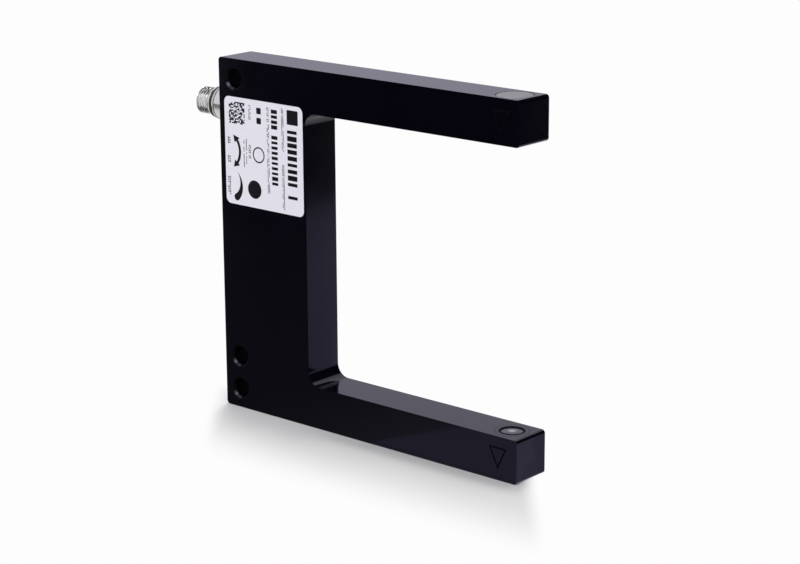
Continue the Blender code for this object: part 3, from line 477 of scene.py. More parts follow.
BLACK_COAT = make_black_coat()
MATT_BLACK_AND_SHADE = make_matt_black()
print("Finishes", BLACK_COAT.name, MATT_BLACK_AND_SHADE.name)

# %% [markdown]
# ## Printed film, ink and plastics
#
# The label is a polyester film with a satin top, so it gets a fine even grain and no fibres. Ink lies on it
# as a glossier layer. Moulded plastics get a slow cloud in colour and a fine spark-eroded texture, each at
# its own strength.

# %% Film and ink
def make_label_film():
    """White film with a violet cast and a fine satin grain."""
    made, graph, sockets = new_finish("label_film", (0.89, 0.875, 0.955), 0.4)
    cloud = noise(graph, 260.0)
    grain = noise(graph, 9000.0, 1.0)
    graph.feed(sockets["Base Color"], between(graph, cloud, (0.8, 0.785, 0.87), (0.84, 0.825, 0.9)))
    graph.feed(sockets["Roughness"], 0.36 + 0.1 * grain)
    graph.feed(sockets["Normal"], bump(graph, grain, 0.004 * MM, 0.4))
    return made


def make_print_ink():
    """Black gloss ink, thin enough that its edges stay crisp."""
    made, graph, sockets = new_finish("print_ink", (0.005, 0.0045, 0.008), 0.25)
    mottle = noise(graph, 3000.0)
    graph.feed(sockets["Base Color"], between(graph, mottle, (0.0035, 0.003, 0.006), (0.007, 0.006, 0.011)))
    graph.feed(sockets["Roughness"], 0.2 + 0.08 * mottle)
    sockets["IOR"].default_value = 1.38
    return made


LABEL_FILM = make_label_film()
PRINT_INK = make_print_ink()
print("Finishes", LABEL_FILM.name, PRINT_INK.name)


# %% Plastics and rubber
PLASTIC_IOR = 1.5


def make_plastic(name, colour, roughness, texture=0.006 * MM):
    """A moulded plastic: slow colour cloud, fine mould texture."""
    made, graph, sockets = new_finish(name, colour, roughness)
    cloud = noise(graph, 300.0)
    grain = noise(graph, 4200.0, 2.0)
    darker = tuple(0.92 * part for part in colour)
    lighter = tuple(min(1.0, 1.08 * part) for part in colour)
    graph.feed(sockets["Base Color"], between(graph, cloud, darker, lighter))
    graph.feed(sockets["Roughness"], roughness - 0.04 + 0.08 * grain)
    graph.feed(sockets["Normal"], bump(graph, grain, texture, 0.5))
    sockets["IOR"].default_value = PLASTIC_IOR
    return made


BLACK_RUBBER = make_plastic("black_rubber", (0.012, 0.012, 0.013), 0.55, 0.012 * MM)
BLACK_PLASTIC = make_plastic("black_plastic", (0.02, 0.02, 0.022), 0.4)
GREY_PLASTIC = make_plastic("grey_plastic", (0.142, 0.142, 0.135), 0.3)
WHITE_PLASTIC = make_plastic("white_plastic", (0.72, 0.72, 0.7), 0.38)
CHIP_BLACK = make_plastic("chip_black", (0.025, 0.025, 0.027), 0.55, 0.012 * MM)
WIRE_RED = make_plastic("wire_red", (0.5, 0.03, 0.02), 0.4)
WIRE_BLUE = make_plastic("wire_blue", (0.02, 0.06, 0.4), 0.4)


def make_amber_plastic():
    """A tinted window plastic, smooth and deep."""
    made, graph, sockets = new_finish("amber_plastic", (0.85, 0.42, 0.04), 0.18)
    depth = noise(graph, 500.0)
    graph.feed(sockets["Base Color"], between(graph, depth, (0.8, 0.38, 0.03), (0.9, 0.48, 0.06)))
    graph.feed(sockets["Roughness"], 0.16 + 0.04 * depth)
    sockets["Coat Weight"].default_value = 0.6
    sockets["Coat Roughness"].default_value = 0.04
    return made


# Radius of the full painted highlight in the middle of each lens's colour, and the radius where it has faded
# out
HIGHLIGHT_CORE = 0.2 * MM
HIGHLIGHT_REACH = 1.7 * MM
BEAM_INSET = 6.5 * MM
BEAM_X = LENGTH - BEAM_INSET + BACK_X


def make_lens_plastic():
    """Dark plastic for infrared light, with a painted highlight: its colour turns paler towards the middle of
    the lens.
    """
    made, graph, sockets = new_finish("lens_plastic", (0.03, 0.028, 0.036), 0.12)
    place = graph.add("ShaderNodeTexCoord", out="Object")
    across = graph.add("ShaderNodeVectorMath", {"operation": "MULTIPLY"}, {0: place, 1: (1.0, 1.0, 0.0)})
    radius = graph.add("ShaderNodeVectorMath", {"operation": "DISTANCE"},
                       {0: across, 1: (BEAM_X, 0.0, 0.0)}, "Value")
    # Painted highlight: the lens colour turns paler towards the beam's axis
    painted_highlight = graph.add("ShaderNodeMapRange", {"interpolation_type": "SMOOTHSTEP"},
                     {0: radius, 1: HIGHLIGHT_CORE, 2: HIGHLIGHT_REACH, 3: 1.0, 4: 0.0})
    graph.feed(sockets["Base Color"], between(graph, painted_highlight, (0.04, 0.037, 0.05), (0.29, 0.283, 0.31)))
    depth = noise(graph, 500.0)
    graph.feed(sockets["Roughness"], 0.1 + 0.04 * depth)
    return made


LENS_PLASTIC = make_lens_plastic()
AMBER_PLASTIC = make_amber_plastic()
print("Plastics are ready")

# %% [markdown]
# ## Metals
#
# The plug is turned brass under nickel. A turned part shows fine rings round its axis, which is noise that is
# squeezed along it. Here the axis is X, so the noise changes fast along X and hardly at all across it.

# %% Metals
def make_metal(name, colour, roughness, rings=0.0, axis=(1.0, 0.02, 0.02)):
    """A metal with turning marks round one axis."""
    made, graph, sockets = new_finish(name, colour, roughness, 1.0)
    tarnish = noise(graph, 400.0)
    marks = noise(graph, 9000.0, 2.0, axis)
    darker = tuple(0.9 * part for part in colour)
    graph.feed(sockets["Base Color"], between(graph, tarnish, darker, colour))
    graph.feed(sockets["Roughness"], roughness + 0.1 * marks)
    if rings:
        graph.feed(sockets["Normal"], bump(graph, marks, rings, 0.6))
    return made


NICKEL = make_metal("nickel", (0.63, 0.63, 0.63), 0.14, 0.004 * MM)
STEEL = make_metal("steel", (0.56, 0.56, 0.57), 0.28, 0.003 * MM, (1.0, 1.0, 1.0))
GOLD_PLATE = make_metal("gold_plate", (0.83, 0.62, 0.25), 0.2)
print("Metals are ready")


# %% Circuit board
def make_board_green():
    """Green lacquer over copper: tracks show as a slightly lighter web under the gloss."""
    made, graph, sockets = new_finish("board_green", (0.02, 0.16, 0.06), 0.35)
    place = graph.add("ShaderNodeTexCoord", out="Object")
    web = graph.add("ShaderNodeTexVoronoi", {"distance": "CHEBYCHEV", "feature": "DISTANCE_TO_EDGE"},
                    {"Vector": place, "Scale": 700.0})
    tracks = graph.add("ShaderNodeMath", {"operation": "LESS_THAN"}, {0: web, 1: 0.12})
    graph.feed(sockets["Base Color"], between(graph, tracks, (0.012, 0.11, 0.04), (0.03, 0.22, 0.08)))
    graph.feed(sockets["Roughness"], 0.3 + 0.08 * tracks)
    graph.feed(sockets["Normal"], bump(graph, tracks, 0.02 * MM, 0.5))
    return made


BOARD_GREEN = make_board_green()
print("Finish", BOARD_GREEN.name)

# %% [markdown]
# ## The housing
#
# One casting carries everything. Its outline is a C whose inner corners are rounder than its outer ones, and
# all its outside edges are softened. The rounding comes before any cut, because the holes and the pocket are
# machined later and keep crisp edges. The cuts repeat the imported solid's, with more sides on each round.

# %% The casting's own dimensions
FRONT_WALL = 1.8 * MM
LEDGE_WIDTH = 1.1 * MM
POCKET_END = LENGTH - 13.6 * MM
MOUNT_INSET = 5.85 * MM
MOUNT_PITCH = 10.0 * MM
MOUNT_RADIUS = 2.75 * MM
MOUNT_CHAMFER = 0.6 * MM
BOSS_EDGE = MOUNT_INSET + MOUNT_RADIUS + 2.4 * MM
COVER_THICKNESS = 1.4 * MM
COVER_BACK_Y = REAR_Y - COVER_THICKNESS
SEAL_THICKNESS = 0.5 * MM
LEDGE_Y = COVER_BACK_Y - SEAL_THICKNESS - 2 * SEAT_GAP
BEAM_DEPTH = BEAM_X - BACK_X
POCKET_FLOOR_Y = FRONT_Y + FRONT_WALL
BEYOND = REAR_Y + SIDE_WALL
POST_RADIUS = 1.8 * MM
PAD_RADIUS = 1.5 * MM
PAD_HEIGHT = 0.6 * MM
PAD_TOP_Y = POCKET_FLOOR_Y + PAD_HEIGHT
TAIL_RADIUS = 3.7 * MM
TAIL_DEPTH = 8.3 * MM
CLIP_ROOM_RADIUS = 4.3 * MM
OVERLAP = 0.05 * MM
LABEL_CORNER = 1.8 * MM

# Radius and depth of the screws' holes, and the radius of each bore in the back face
COVER_PILOT = (1.15 * MM, 6.3 * MM)
BOARD_PILOT = (0.9 * MM, 1.4 * MM)
BACK_FACE_BORES = {"mode_rotor": 2.3 * MM, "sensitivity_rotor": 2.3 * MM, "indicator_lens": 1.7 * MM}


def housing_outline():
    """The C as seen from the side."""
    return rounded([
        (0, 0, OUTER_CORNER),
        (LENGTH, 0, OUTER_CORNER),
        (LENGTH, ARM_HEIGHT, OUTER_CORNER),
        (SPINE_WIDTH, ARM_HEIGHT, FORK_CORNER),
        (SPINE_WIDTH, mirrored(ARM_HEIGHT), FORK_CORNER),
        (LENGTH, mirrored(ARM_HEIGHT), OUTER_CORNER),
        (LENGTH, HEIGHT, OUTER_CORNER),
        (0, HEIGHT, OUTER_CORNER),
    ])


def pocket_outline(inset):
    """The pocket's C, or with another inset the rebate, the cover and the seal, parallel to it."""
    shift = SIDE_WALL - inset
    boss = BOSS_EDGE - shift
    end = POCKET_END + shift
    low_boss = boss + MOUNT_PITCH
    fork_corner = FORK_CORNER + inset
    return rounded([
        (inset, low_boss, OUTER_CORNER),
        (boss, low_boss, OUTER_CORNER),
        (boss, inset, OUTER_CORNER),
        (end, inset, OUTER_CORNER),
        (end, ARM_HEIGHT - inset, OUTER_CORNER),
        (SPINE_WIDTH - inset, ARM_HEIGHT - inset, fork_corner),
        (SPINE_WIDTH - inset, mirrored(ARM_HEIGHT - inset), fork_corner),
        (end, mirrored(ARM_HEIGHT - inset), OUTER_CORNER),
        (end, mirrored(inset), OUTER_CORNER),
        (boss, mirrored(inset), OUTER_CORNER),
        (boss, mirrored(boss), OUTER_CORNER),
        (inset, mirrored(boss), OUTER_CORNER),
    ])


def label_outline(margin):
    """The label film's edge, or with a margin its recess."""
    left = LABEL_LOW.x - BACK_X - margin
    right = LABEL_HIGH.x - BACK_X + margin
    return box_outline(left, LABEL_LOW.z - margin, right, LABEL_HIGH.z + margin, LABEL_CORNER + margin)


print("The C has", len(housing_outline()), "points")


# %% Where the housing's posts, pads and holes are
def middle_of(node):
    """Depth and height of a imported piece's middle."""
    low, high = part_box(node)
    middle = (low + high) / 2
    return middle.x - BACK_X, middle.z


SCREW_PLACES = [middle_of(f"cover_screw_{index}") for index in range(1, 7)]
BOARD_SCREW_PLACES = [middle_of(f"board_screw_{index}") for index in (1, 2)]
BOARD_LOW, BOARD_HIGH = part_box("main_board")
PAD_INSET = 2.5 * MM
PAD_PLACES = [
    (edge_x - BACK_X + PAD_INSET * sign_x, edge_z + PAD_INSET * sign_z)
    for edge_x, sign_x in ((BOARD_LOW.x, 1), (BOARD_HIGH.x, -1))
    for edge_z, sign_z in ((BOARD_LOW.z, 1), (BOARD_HIGH.z, -1))
]
MOUNT_HEIGHTS = [MOUNT_INSET, MOUNT_INSET + MOUNT_PITCH, mirrored(MOUNT_INSET)]
print("Cover screws at", [(round(d / MM, 1), round(h / MM, 1)) for d, h in SCREW_PLACES])


# %% Cut the housing
def drill(housing, radius, length, start, rotation, sides=48):
    """A straight bore from a place inwards, against the direction that the rotation points."""
    profile = [(0, SIDE_WALL), (radius, SIDE_WALL), (radius, -length), (0, -length)]
    boolean(housing, put(turned("drill", profile, sides), start, rotation))


def cut_pocket(housing):
    """Hollows the housing from the rear, leaving posts for the screws and pads for the board."""
    posts = [circle(depth, height, POST_RADIUS) for depth, height in SCREW_PLACES]
    boolean(housing, side_plate("pocket", [pocket_outline(SIDE_WALL)] + posts, POCKET_FLOOR_Y, BEYOND))
    boolean(housing, side_plate("rebate", [pocket_outline(SIDE_WALL - LEDGE_WIDTH)], LEDGE_Y, BEYOND))
    for depth, height in PAD_PLACES:
        pad = side_plate("pad", [circle(depth, height, PAD_RADIUS)], POCKET_FLOOR_Y - PAD_HEIGHT, PAD_TOP_Y)
        boolean(housing, pad, "UNION")


def cut_plug_bore(housing, height):
    """The hole for the plug's tail, wider behind the wall, where the clip sits."""
    behind = OVERLAP - SIDE_WALL
    profile = [(0, SIDE_WALL), (TAIL_RADIUS, SIDE_WALL), (TAIL_RADIUS, behind), (CLIP_ROOM_RADIUS, behind),
               (CLIP_ROOM_RADIUS, -TAIL_DEPTH), (0, -TAIL_DEPTH)]
    boolean(housing, put(turned("plug_bore", profile, FINE_SIDES), at(0, 0, height), FACING_BACK))


def cut_mounting_holes(housing):
    """Through holes, countersunk lightly from both faces."""
    half = THICKNESS / 2
    wide = MOUNT_RADIUS + MOUNT_CHAMFER
    inner = half - MOUNT_CHAMFER
    reach = half + SIDE_WALL
    profile = [(0, reach), (wide + SIDE_WALL, reach), (MOUNT_RADIUS, inner), (MOUNT_RADIUS, -inner),
               (wide + SIDE_WALL, -reach), (0, -reach)]
    for height in MOUNT_HEIGHTS:
        boolean(housing, put(turned("mount", profile, FINE_SIDES), at(MOUNT_INSET, 0, height), FACING_REAR))


print("Arm tip middle at depth", round(BEAM_DEPTH / MM, 2))


# %% Bores of the arm tips
LENS_RADIUS = 3.5 * MM
LENS_LEDGE = 1.0 * MM
OPTIC_BORE = 4.2 * MM
CAP_THICKNESS = 1.6 * MM
CAP_RECESS = 0.05 * MM
WIRE_RADIUS = 0.4 * MM
WIRE_BORE = 1.2 * MM

# Radius, width and depth of the fine line that is turned into the face round each lens and cap
FACE_LINE = (4.7 * MM, 0.22 * MM, 0.12 * MM)


def cut_optics(housing, name, gap_face, inward):
    """The stepped bore of one arm tip and the hole that lets its wires in from the pocket."""
    cap_low, cap_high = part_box(name + "_cap")
    cap_radius = (cap_high.y - cap_low.y) / 2 + SIDE_GAP
    seat = ARM_HEIGHT - CAP_THICKNESS - CAP_RECESS - SEAT_GAP
    window = LENS_RADIUS + SIDE_GAP
    beyond = ARM_HEIGHT + SIDE_WALL
    profile = [(0, beyond), (cap_radius, beyond), (cap_radius, seat), (OPTIC_BORE, seat),
               (OPTIC_BORE, LENS_LEDGE), (window, LENS_LEDGE), (window, -SIDE_WALL), (0, -SIDE_WALL)]
    turn = FACING_UP if inward > 0 else FACING_DOWN
    root = at(BEAM_DEPTH, 0, gap_face)
    boolean(housing, put(turned("optic", profile, FINE_SIDES), root, turn))
    radius, width, depth = FACE_LINE
    ring = [(radius + width, -depth), (radius, -depth), (radius + width / 2, depth)]
    boolean(housing, put(turned("face_line", ring, FINE_SIDES, ring=True), root, turn))
    wires_low, wires_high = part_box(name + "_wire_1")
    level = (wires_high.z if inward > 0 else wires_low.z) - inward * WIRE_RADIUS
    drill(housing, WIRE_BORE, BEAM_DEPTH - POCKET_END, at(POCKET_END, 0, level), FACING_BACK, SMALL_SIDES)


print("Beam height between the tips, mm:", round((HEIGHT - 2 * ARM_HEIGHT) / MM, 1))


# %% Triangle marks
MARK_WIDTH = 6.2 * MM
MARK_HEIGHT = 6.4 * MM
MARK_LINE = 0.5 * MM
MARK_DEPTH = 0.25 * MM
MARK_LEVEL = (HEIGHT - ARM_HEIGHT) / 2

# The tolerance for telling on which surface the middle of a face lies
HAIR = 0.01 * MM

# The stretch of a mounting hole's rim that stays glossy, while the rest of the rim is painted matt black as
# painted shade: its middle, as an angle from the tips' side, and half its length
RIM_LIGHT = math.radians(-124)
RIM_SPREAD = math.radians(30)


def cut_mark(housing, height):
    """A triangle's outline, point down, engraved in the front face."""
    half = MARK_WIDTH / 2
    rise = MARK_HEIGHT / 2
    outer = [(-half, rise), (half, rise), (0, -rise)]
    inner_radius = half * MARK_HEIGHT / (half + math.hypot(half, MARK_HEIGHT))
    shrink = (inner_radius - MARK_LINE) / inner_radius
    middle = rise - inner_radius
    inner = [(across * shrink, middle + (up - middle) * shrink) for across, up in outer]
    rings = [[(BEAM_DEPTH + across, height + up) for across, up in ring] for ring in (outer, inner)]
    boolean(housing, side_plate("mark", rings, FRONT_Y - MARK_DEPTH, FRONT_Y + MARK_DEPTH))


def is_engraved(place):
    """Tells whether a place is on the walls or the floor of a triangle mark."""
    near_tip = abs(place.x - BEAM_X) < MARK_WIDTH / 2
    below_face = 2 * HAIR < place.y - FRONT_Y < MARK_DEPTH + HAIR
    return near_tip and below_face and abs(abs(place.z - HEIGHT / 2) - MARK_LEVEL) < MARK_HEIGHT / 2


def is_shaded_rim(place):
    """Tells whether a place on a mounting hole's front rim gets painted shade: matt black outside the lit
    stretch.
    """
    below_face = HAIR < place.y - FRONT_Y < MOUNT_CHAMFER + HAIR
    for height in MOUNT_HEIGHTS:
        across, up = place.x - BACK_X - MOUNT_INSET, place.z - height
        if below_face and math.hypot(across, up) < MOUNT_RADIUS + MOUNT_CHAMFER + 5 * HAIR:
            return abs(math.atan2(up, across) - RIM_LIGHT) > RIM_SPREAD
    return False


def is_shaded_window_bore(place):
    """Tells whether a place is on the wall of the bore round a lens, which gets matt black as painted shade in
    the gap.
    """
    into_arm = abs(place.z - HEIGHT / 2) - (HEIGHT / 2 - ARM_HEIGHT)
    near_beam = math.hypot(place.x - BEAM_X, place.y) < LENS_RADIUS + SIDE_GAP + 2 * HAIR
    return near_beam and HAIR < into_arm < LENS_LEDGE - HAIR


def is_matt_or_shaded(place):
    """Tells whether a place on the housing gets the matt black, for an engraved line or as painted shade."""
    return is_engraved(place) or is_shaded_window_bore(place) or is_shaded_rim(place)


# %% Make the housing
LABEL_RECESS = 0.2 * MM
FILM_GAP = 0.05 * MM


def make_housing():
    """The block first, its edges rounded, then the bores and marks, and the pocket from the rear last."""
    housing = side_plate("housing_casting", [housing_outline()], FRONT_Y, REAR_Y)
    bevelled(housing, EDGE_RADIUS, segments=5)
    cut_plug_bore(housing, middle_of("connector_clip")[1])
    for node, radius in BACK_FACE_BORES.items():
        drill(housing, radius, SIDE_WALL + SEAT_GAP, at(0, 0, middle_of(node)[1]), FACING_BACK)
    cut_optics(housing, "emitter", mirrored(ARM_HEIGHT), 1)
    cut_optics(housing, "receiver", ARM_HEIGHT, -1)
    cut_mark(housing, mirrored(ARM_HEIGHT / 2))
    cut_mark(housing, ARM_HEIGHT / 2)
    recess = side_plate("recess", [label_outline(FILM_GAP)], FRONT_Y - LABEL_RECESS, FRONT_Y + LABEL_RECESS)
    boolean(housing, recess)
    cut_mounting_holes(housing)
    cut_pocket(housing)
    for depth, height in SCREW_PLACES:
        drill(housing, *COVER_PILOT, at(depth, REAR_Y, height), FACING_REAR, SMALL_SIDES)
    for depth, height in BOARD_SCREW_PLACES:
        drill(housing, *BOARD_PILOT, at(depth, PAD_TOP_Y, height), FACING_REAR, SMALL_SIDES)
    smooth(housing, 30)
    dressed(housing, BLACK_COAT, "black_coat", "housing")
    # Matt black for the engraved marks, and as painted shade in the lens bores and on the holes' rims
    return repainted(housing, MATT_BLACK_AND_SHADE, is_matt_or_shaded)


make_housing()

# %% [markdown]
# ## Rear cover, seal and screws
#
# The electronics go in from the rear, and a flush plate closes the pocket over a rubber seal. Six countersunk
# screws hold it. The screws are all alike, so one is modelled and a small Geometry Nodes tree puts a copy at
# each place, turned a little differently, as screws end up when they are driven home.

# %% Cover
COVER_INSET = SIDE_WALL - LEDGE_WIDTH + SIDE_GAP
COVER_EDGE = 0.12 * MM
HEAD_RADIUS = 1.9 * MM
HEAD_HEIGHT = 1.0 * MM
SHANK_RADIUS = 0.95 * MM


def make_cover():
    """A flat plate with a soft edge and a countersink for each screw, whose cutter starts above the face."""
    cover = side_plate("rear_cover_plate", [pocket_outline(COVER_INSET)], COVER_BACK_Y, REAR_Y)
    bevelled(cover, COVER_EDGE, segments=2)
    head = HEAD_RADIUS + SIDE_GAP
    shank = SHANK_RADIUS + SIDE_GAP
    below = -2 * COVER_THICKNESS
    above = 2 * head - shank
    profile = [(0, HEAD_HEIGHT), (above, HEAD_HEIGHT), (shank, -HEAD_HEIGHT), (shank, below), (0, below)]
    for depth, height in SCREW_PLACES:
        boolean(cover, put(turned("sink", profile), at(depth, REAR_Y, height), FACING_REAR))
    return dressed(smooth(cover, 30), BLACK_COAT, "black_coat", "rear_cover")


make_cover()

# %% Screws
SCREW_LENGTH = 6.0 * MM
HEAD_SINK = 0.05 * MM
HEAD_EDGE = 0.12 * MM
POINT_TAPER = 0.4 * MM
RECESS_WING = (2.4 * MM, 0.5 * MM, 1.3 * MM)
RECESS_TAPER = (0.35, 0.7)


def make_screw_stock():
    """One countersunk screw, its head at the origin, with a tapered cross recess."""
    top = -HEAD_SINK
    profile = [(0, top), (HEAD_RADIUS - HEAD_EDGE, top), (HEAD_RADIUS, top - HEAD_EDGE),
               (SHANK_RADIUS, top - HEAD_HEIGHT), (SHANK_RADIUS, -SCREW_LENGTH + POINT_TAPER),
               (SHANK_RADIUS - POINT_TAPER, -SCREW_LENGTH), (0, -SCREW_LENGTH)]
    screw = turned("screw_stock", profile, 48)
    for turn in (0, math.pi / 2):
        wing = block("wing", RECESS_WING)
        for corner in wing.data.vertices:
            if corner.co.z < 0:
                corner.co.x *= RECESS_TAPER[0]
                corner.co.y *= RECESS_TAPER[1]
        boolean(screw, put(wing, (0, 0, 0), (0, 0, turn)))
    return smooth(put(screw, (0, 0, 0), FACING_REAR), 30)


def geometry_tree(name, numbers):
    """A new Geometry Nodes tree with geometry in and out and the given named number inputs."""
    tree = bpy.data.node_groups.new(name, "GeometryNodeTree")
    tree.interface.new_socket("Geometry", in_out="INPUT", socket_type="NodeSocketGeometry")
    for label, value in numbers.items():
        kind = "NodeSocketInt" if isinstance(value, int) else "NodeSocketFloat"
        tree.interface.new_socket(label, in_out="INPUT", socket_type=kind).default_value = value
    tree.interface.new_socket("Geometry", in_out="OUTPUT", socket_type="NodeSocketGeometry")
    graph = Graph(tree)
    inputs = tree.nodes.new("NodeGroupInput")
    wires = {socket.name: Wire(graph, socket) for socket in inputs.outputs if socket.name}
    return tree, graph, wires


def close_tree(graph, geometry, material):
    """Ends a tree: instances become real, every face gets the material."""
    real = graph.add("GeometryNodeRealizeInstances", None, {0: geometry})
    painted = graph.add("GeometryNodeSetMaterial", None, {"Geometry": real, "Material": material})
    graph.add("NodeGroupOutput", None, {0: painted})


def grown(made, tree, numbers):
    """Runs a tree on an object with these inputs and keeps the result as a plain mesh."""
    modifier = made.modifiers.new(tree.name, "NODES")
    modifier.node_group = tree
    for item in tree.interface.items_tree:
        if item.in_out == "INPUT" and item.name in numbers:
            modifier[item.identifier] = numbers[item.name]
    return baked(made)


print("Screw head across, mm:", round(2 * HEAD_RADIUS / MM, 2))


# %% Six screws from one
SCREW_TURN_STEP = 0.47


def make_screws():
    """A copy of the stock at each place, each turned on by a fixed step."""
    stock = make_screw_stock()
    tree, graph, wires = geometry_tree("screws_at_points", {"Turn Step": 0.0})
    tree.interface.new_socket("Screw", in_out="INPUT", socket_type="NodeSocketObject")
    inputs = next(node for node in tree.nodes if node.bl_idname == "NodeGroupInput")
    source = Wire(graph, inputs.outputs["Screw"])
    screw = graph.add("GeometryNodeObjectInfo", None, {"Object": source}, "Geometry")
    turn = graph.add("GeometryNodeInputIndex") * wires["Turn Step"]
    rotation = graph.add("FunctionNodeAxisAngleToRotation", None, {"Axis": (0, 1, 0), "Angle": turn})
    copies = graph.add("GeometryNodeInstanceOnPoints", None,
                       {"Points": wires["Geometry"], "Instance": screw, "Rotation": rotation})
    close_tree(graph, copies, STEEL)
    points = bpy.data.meshes.new("cover_screws")
    points.from_pydata([at(depth, REAR_Y, height) for depth, height in SCREW_PLACES], [], [])
    screws = grown(shown("cover_screws", points), tree, {"Turn Step": SCREW_TURN_STEP, "Screw": stock})
    bpy.data.objects.remove(stock)
    return dressed(screws, STEEL, "steel", *[f"cover_screw_{index}" for index in range(1, 7)])


make_screws()

# %% [markdown]
# ## The label
#
# A printed film lies flush in a shallow recess. Its print is made as a thin layer of ink, so it stays sharp
# at any distance and needs no picture. Nothing here spells anything. Words become rows of small blocks, a
# block mark becomes one field, and only the two drawings that explain the adjusters keep their shape: a
# double arrow for the two-way switch and a growing wedge for the sensitivity.

# %% Film
INK_RISE = 0.012 * MM
FILM_TOP_Y = FRONT_Y + 0.02 * MM
FILM_EDGE = 0.03 * MM
FILM_WIDTH = LABEL_HIGH.x - LABEL_LOW.x
FILM_HEIGHT = LABEL_HIGH.z - LABEL_LOW.z


def make_film():
    """The film itself, a sheet with a cut edge that is barely rounded."""
    film = side_plate("label_film_sheet", [label_outline(0)], FILM_TOP_Y, LABEL_HIGH.y)
    bevelled(film, FILM_EDGE, segments=2)
    return dressed(smooth(film, 30), LABEL_FILM, "label_film", "label")


make_film()


def on_label(made):
    """Moves a flat mesh from label terms (X down the label, Y towards the tips) onto the film."""
    corner = Vector((LABEL_LOW.x, FILM_TOP_Y - INK_RISE / 2, LABEL_HIGH.z))
    turn = Matrix(((0, 1, 0), (0, 0, -1), (-1, 0, 0))).to_4x4()
    made.data.transform(Matrix.Translation(corner) @ turn)
    return made


print("Film in mm:", round(FILM_WIDTH / MM, 1), "by", round(FILM_HEIGHT / MM, 1))


# %% Rows of blocks
def make_row_tree():
    """A row of blocks of varied width along X, with some left out as the gaps between words."""
    tree, graph, wires = geometry_tree("print_row", {
        "Length": 0.01, "Block Height": 0.001, "Pitch": 0.001, "Rise": 0.0001, "Narrowest": 0.4,
        "Widest": 1.0, "Kept": 0.9, "Seed": 1,
    })
    pitch = wires["Pitch"]
    start = graph.add("ShaderNodeCombineXYZ", None, {"X": pitch * 0.5})
    step = graph.add("ShaderNodeCombineXYZ", None, {"X": pitch})
    line = graph.add("GeometryNodeMeshLine", {"mode": "OFFSET"},
                     {"Count": wires["Length"] / pitch, "Start Location": start, "Offset": step})
    dropped = graph.add("FunctionNodeRandomValue", {"data_type": "BOOLEAN"},
                        {6: 1.0 - wires["Kept"], 8: wires["Seed"]}, 3)
    words = graph.add("GeometryNodeDeleteGeometry", None, {"Geometry": line, "Selection": dropped})
    share = graph.add("FunctionNodeRandomValue", {"data_type": "FLOAT"},
                      {2: wires["Narrowest"], 3: wires["Widest"], 8: wires["Seed"]}, 1)
    size = graph.add("ShaderNodeCombineXYZ", None,
                     {"X": share * pitch, "Y": wires["Block Height"], "Z": wires["Rise"]})
    stock = graph.add("GeometryNodeMeshCube", None, {"Size": (1, 1, 1)})
    blocks = graph.add("GeometryNodeInstanceOnPoints", None,
                       {"Points": words, "Instance": stock, "Scale": size})
    close_tree(graph, blocks, PRINT_INK)
    return tree


ROW_TREE = make_row_tree()

# Each row: down the label from and to, across its middle, as shares of the film's height and width, then its
# height and pitch in millimetres, how many strips it is made of (nought for one row of solid blocks) and the
# share of blocks kept
PRINT_ROWS = {
    "bold_row": (0.21, 0.97, 0.865, 3.7, 1.9, 0, 0.9),
    "middle_row": (0.055, 0.765, 0.642, 2.4, 1.5, 0, 0.9),
    "fine_row_1": (0.03, 0.44, 0.748, 0.95, 0.55, 2, 0.8),
    "fine_row_2": (0.55, 0.97, 0.748, 0.95, 0.55, 2, 0.85),
    "fine_row_3": (0.045, 0.85, 0.56, 0.95, 0.55, 2, 0.8),
    "date_row": (0.05, 0.19, 0.328, 0.95, 0.55, 2, 0.85),
    "small_row_1": (0.37, 0.645, 0.246, 0.55, 0.5, 1, 0.85),
    "small_row_2": (0.37, 0.62, 0.278, 0.55, 0.5, 1, 0.85),
    "small_row_3": (0.42, 0.56, 0.32, 0.95, 0.5, 2, 0.9),
    "switch_word_1": (0.375, 0.46, 0.052, 1.25, 0.7, 2, 0.95),
    "switch_word_2": (0.55, 0.635, 0.052, 1.25, 0.7, 2, 0.95),
    "sensitivity_word": (0.745, 0.925, 0.045, 1.25, 0.7, 2, 0.9),
}

# How much of its strip a dash fills in height, and the narrowest and widest dash and block as shares of
# their pitch
STRIP_FILL = 0.64
DASH_SHARES = (0.4, 0.85)
BLOCK_SHARES = (0.45, 0.8)


def print_row(name, seed, down, down_end, across, row_height, pitch, strips, kept):
    """One row of print: solid blocks, or strips of short dashes, grown by the tree and moved into place."""
    made = []
    narrowest, widest = DASH_SHARES if strips else BLOCK_SHARES
    fill = STRIP_FILL if strips else 1.0
    strips = max(strips, 1)
    strip_pitch = row_height * MM / strips
    for strip in range(strips):
        row = grown(shown(name, bpy.data.meshes.new(name)), ROW_TREE, {
            "Length": (down_end - down) * FILM_HEIGHT, "Block Height": strip_pitch * fill,
            "Pitch": pitch * MM, "Rise": INK_RISE, "Narrowest": narrowest, "Widest": widest, "Kept": kept,
            "Seed": seed * 10 + strip,
        })
        shift = (strip - (strips - 1) / 2) * strip_pitch
        made.append(put(row, (down * FILM_HEIGHT, across * FILM_WIDTH + shift, 0)))
    return made


rows = []
for seed, (name, sizes) in enumerate(PRINT_ROWS.items(), 3):
    rows += print_row(name, seed, *sizes)
print("Blocks and dashes in the rows:", sum(len(row.data.polygons) // 6 for row in rows))


# %% A field of small squares
FIELD_SIDE = 6.0 * MM
FIELD_CELLS = 16
FIELD_FILLED = 0.64
FIELD_PLACE = (0.145, 0.16)
SQUARE_SHARE = 0.96


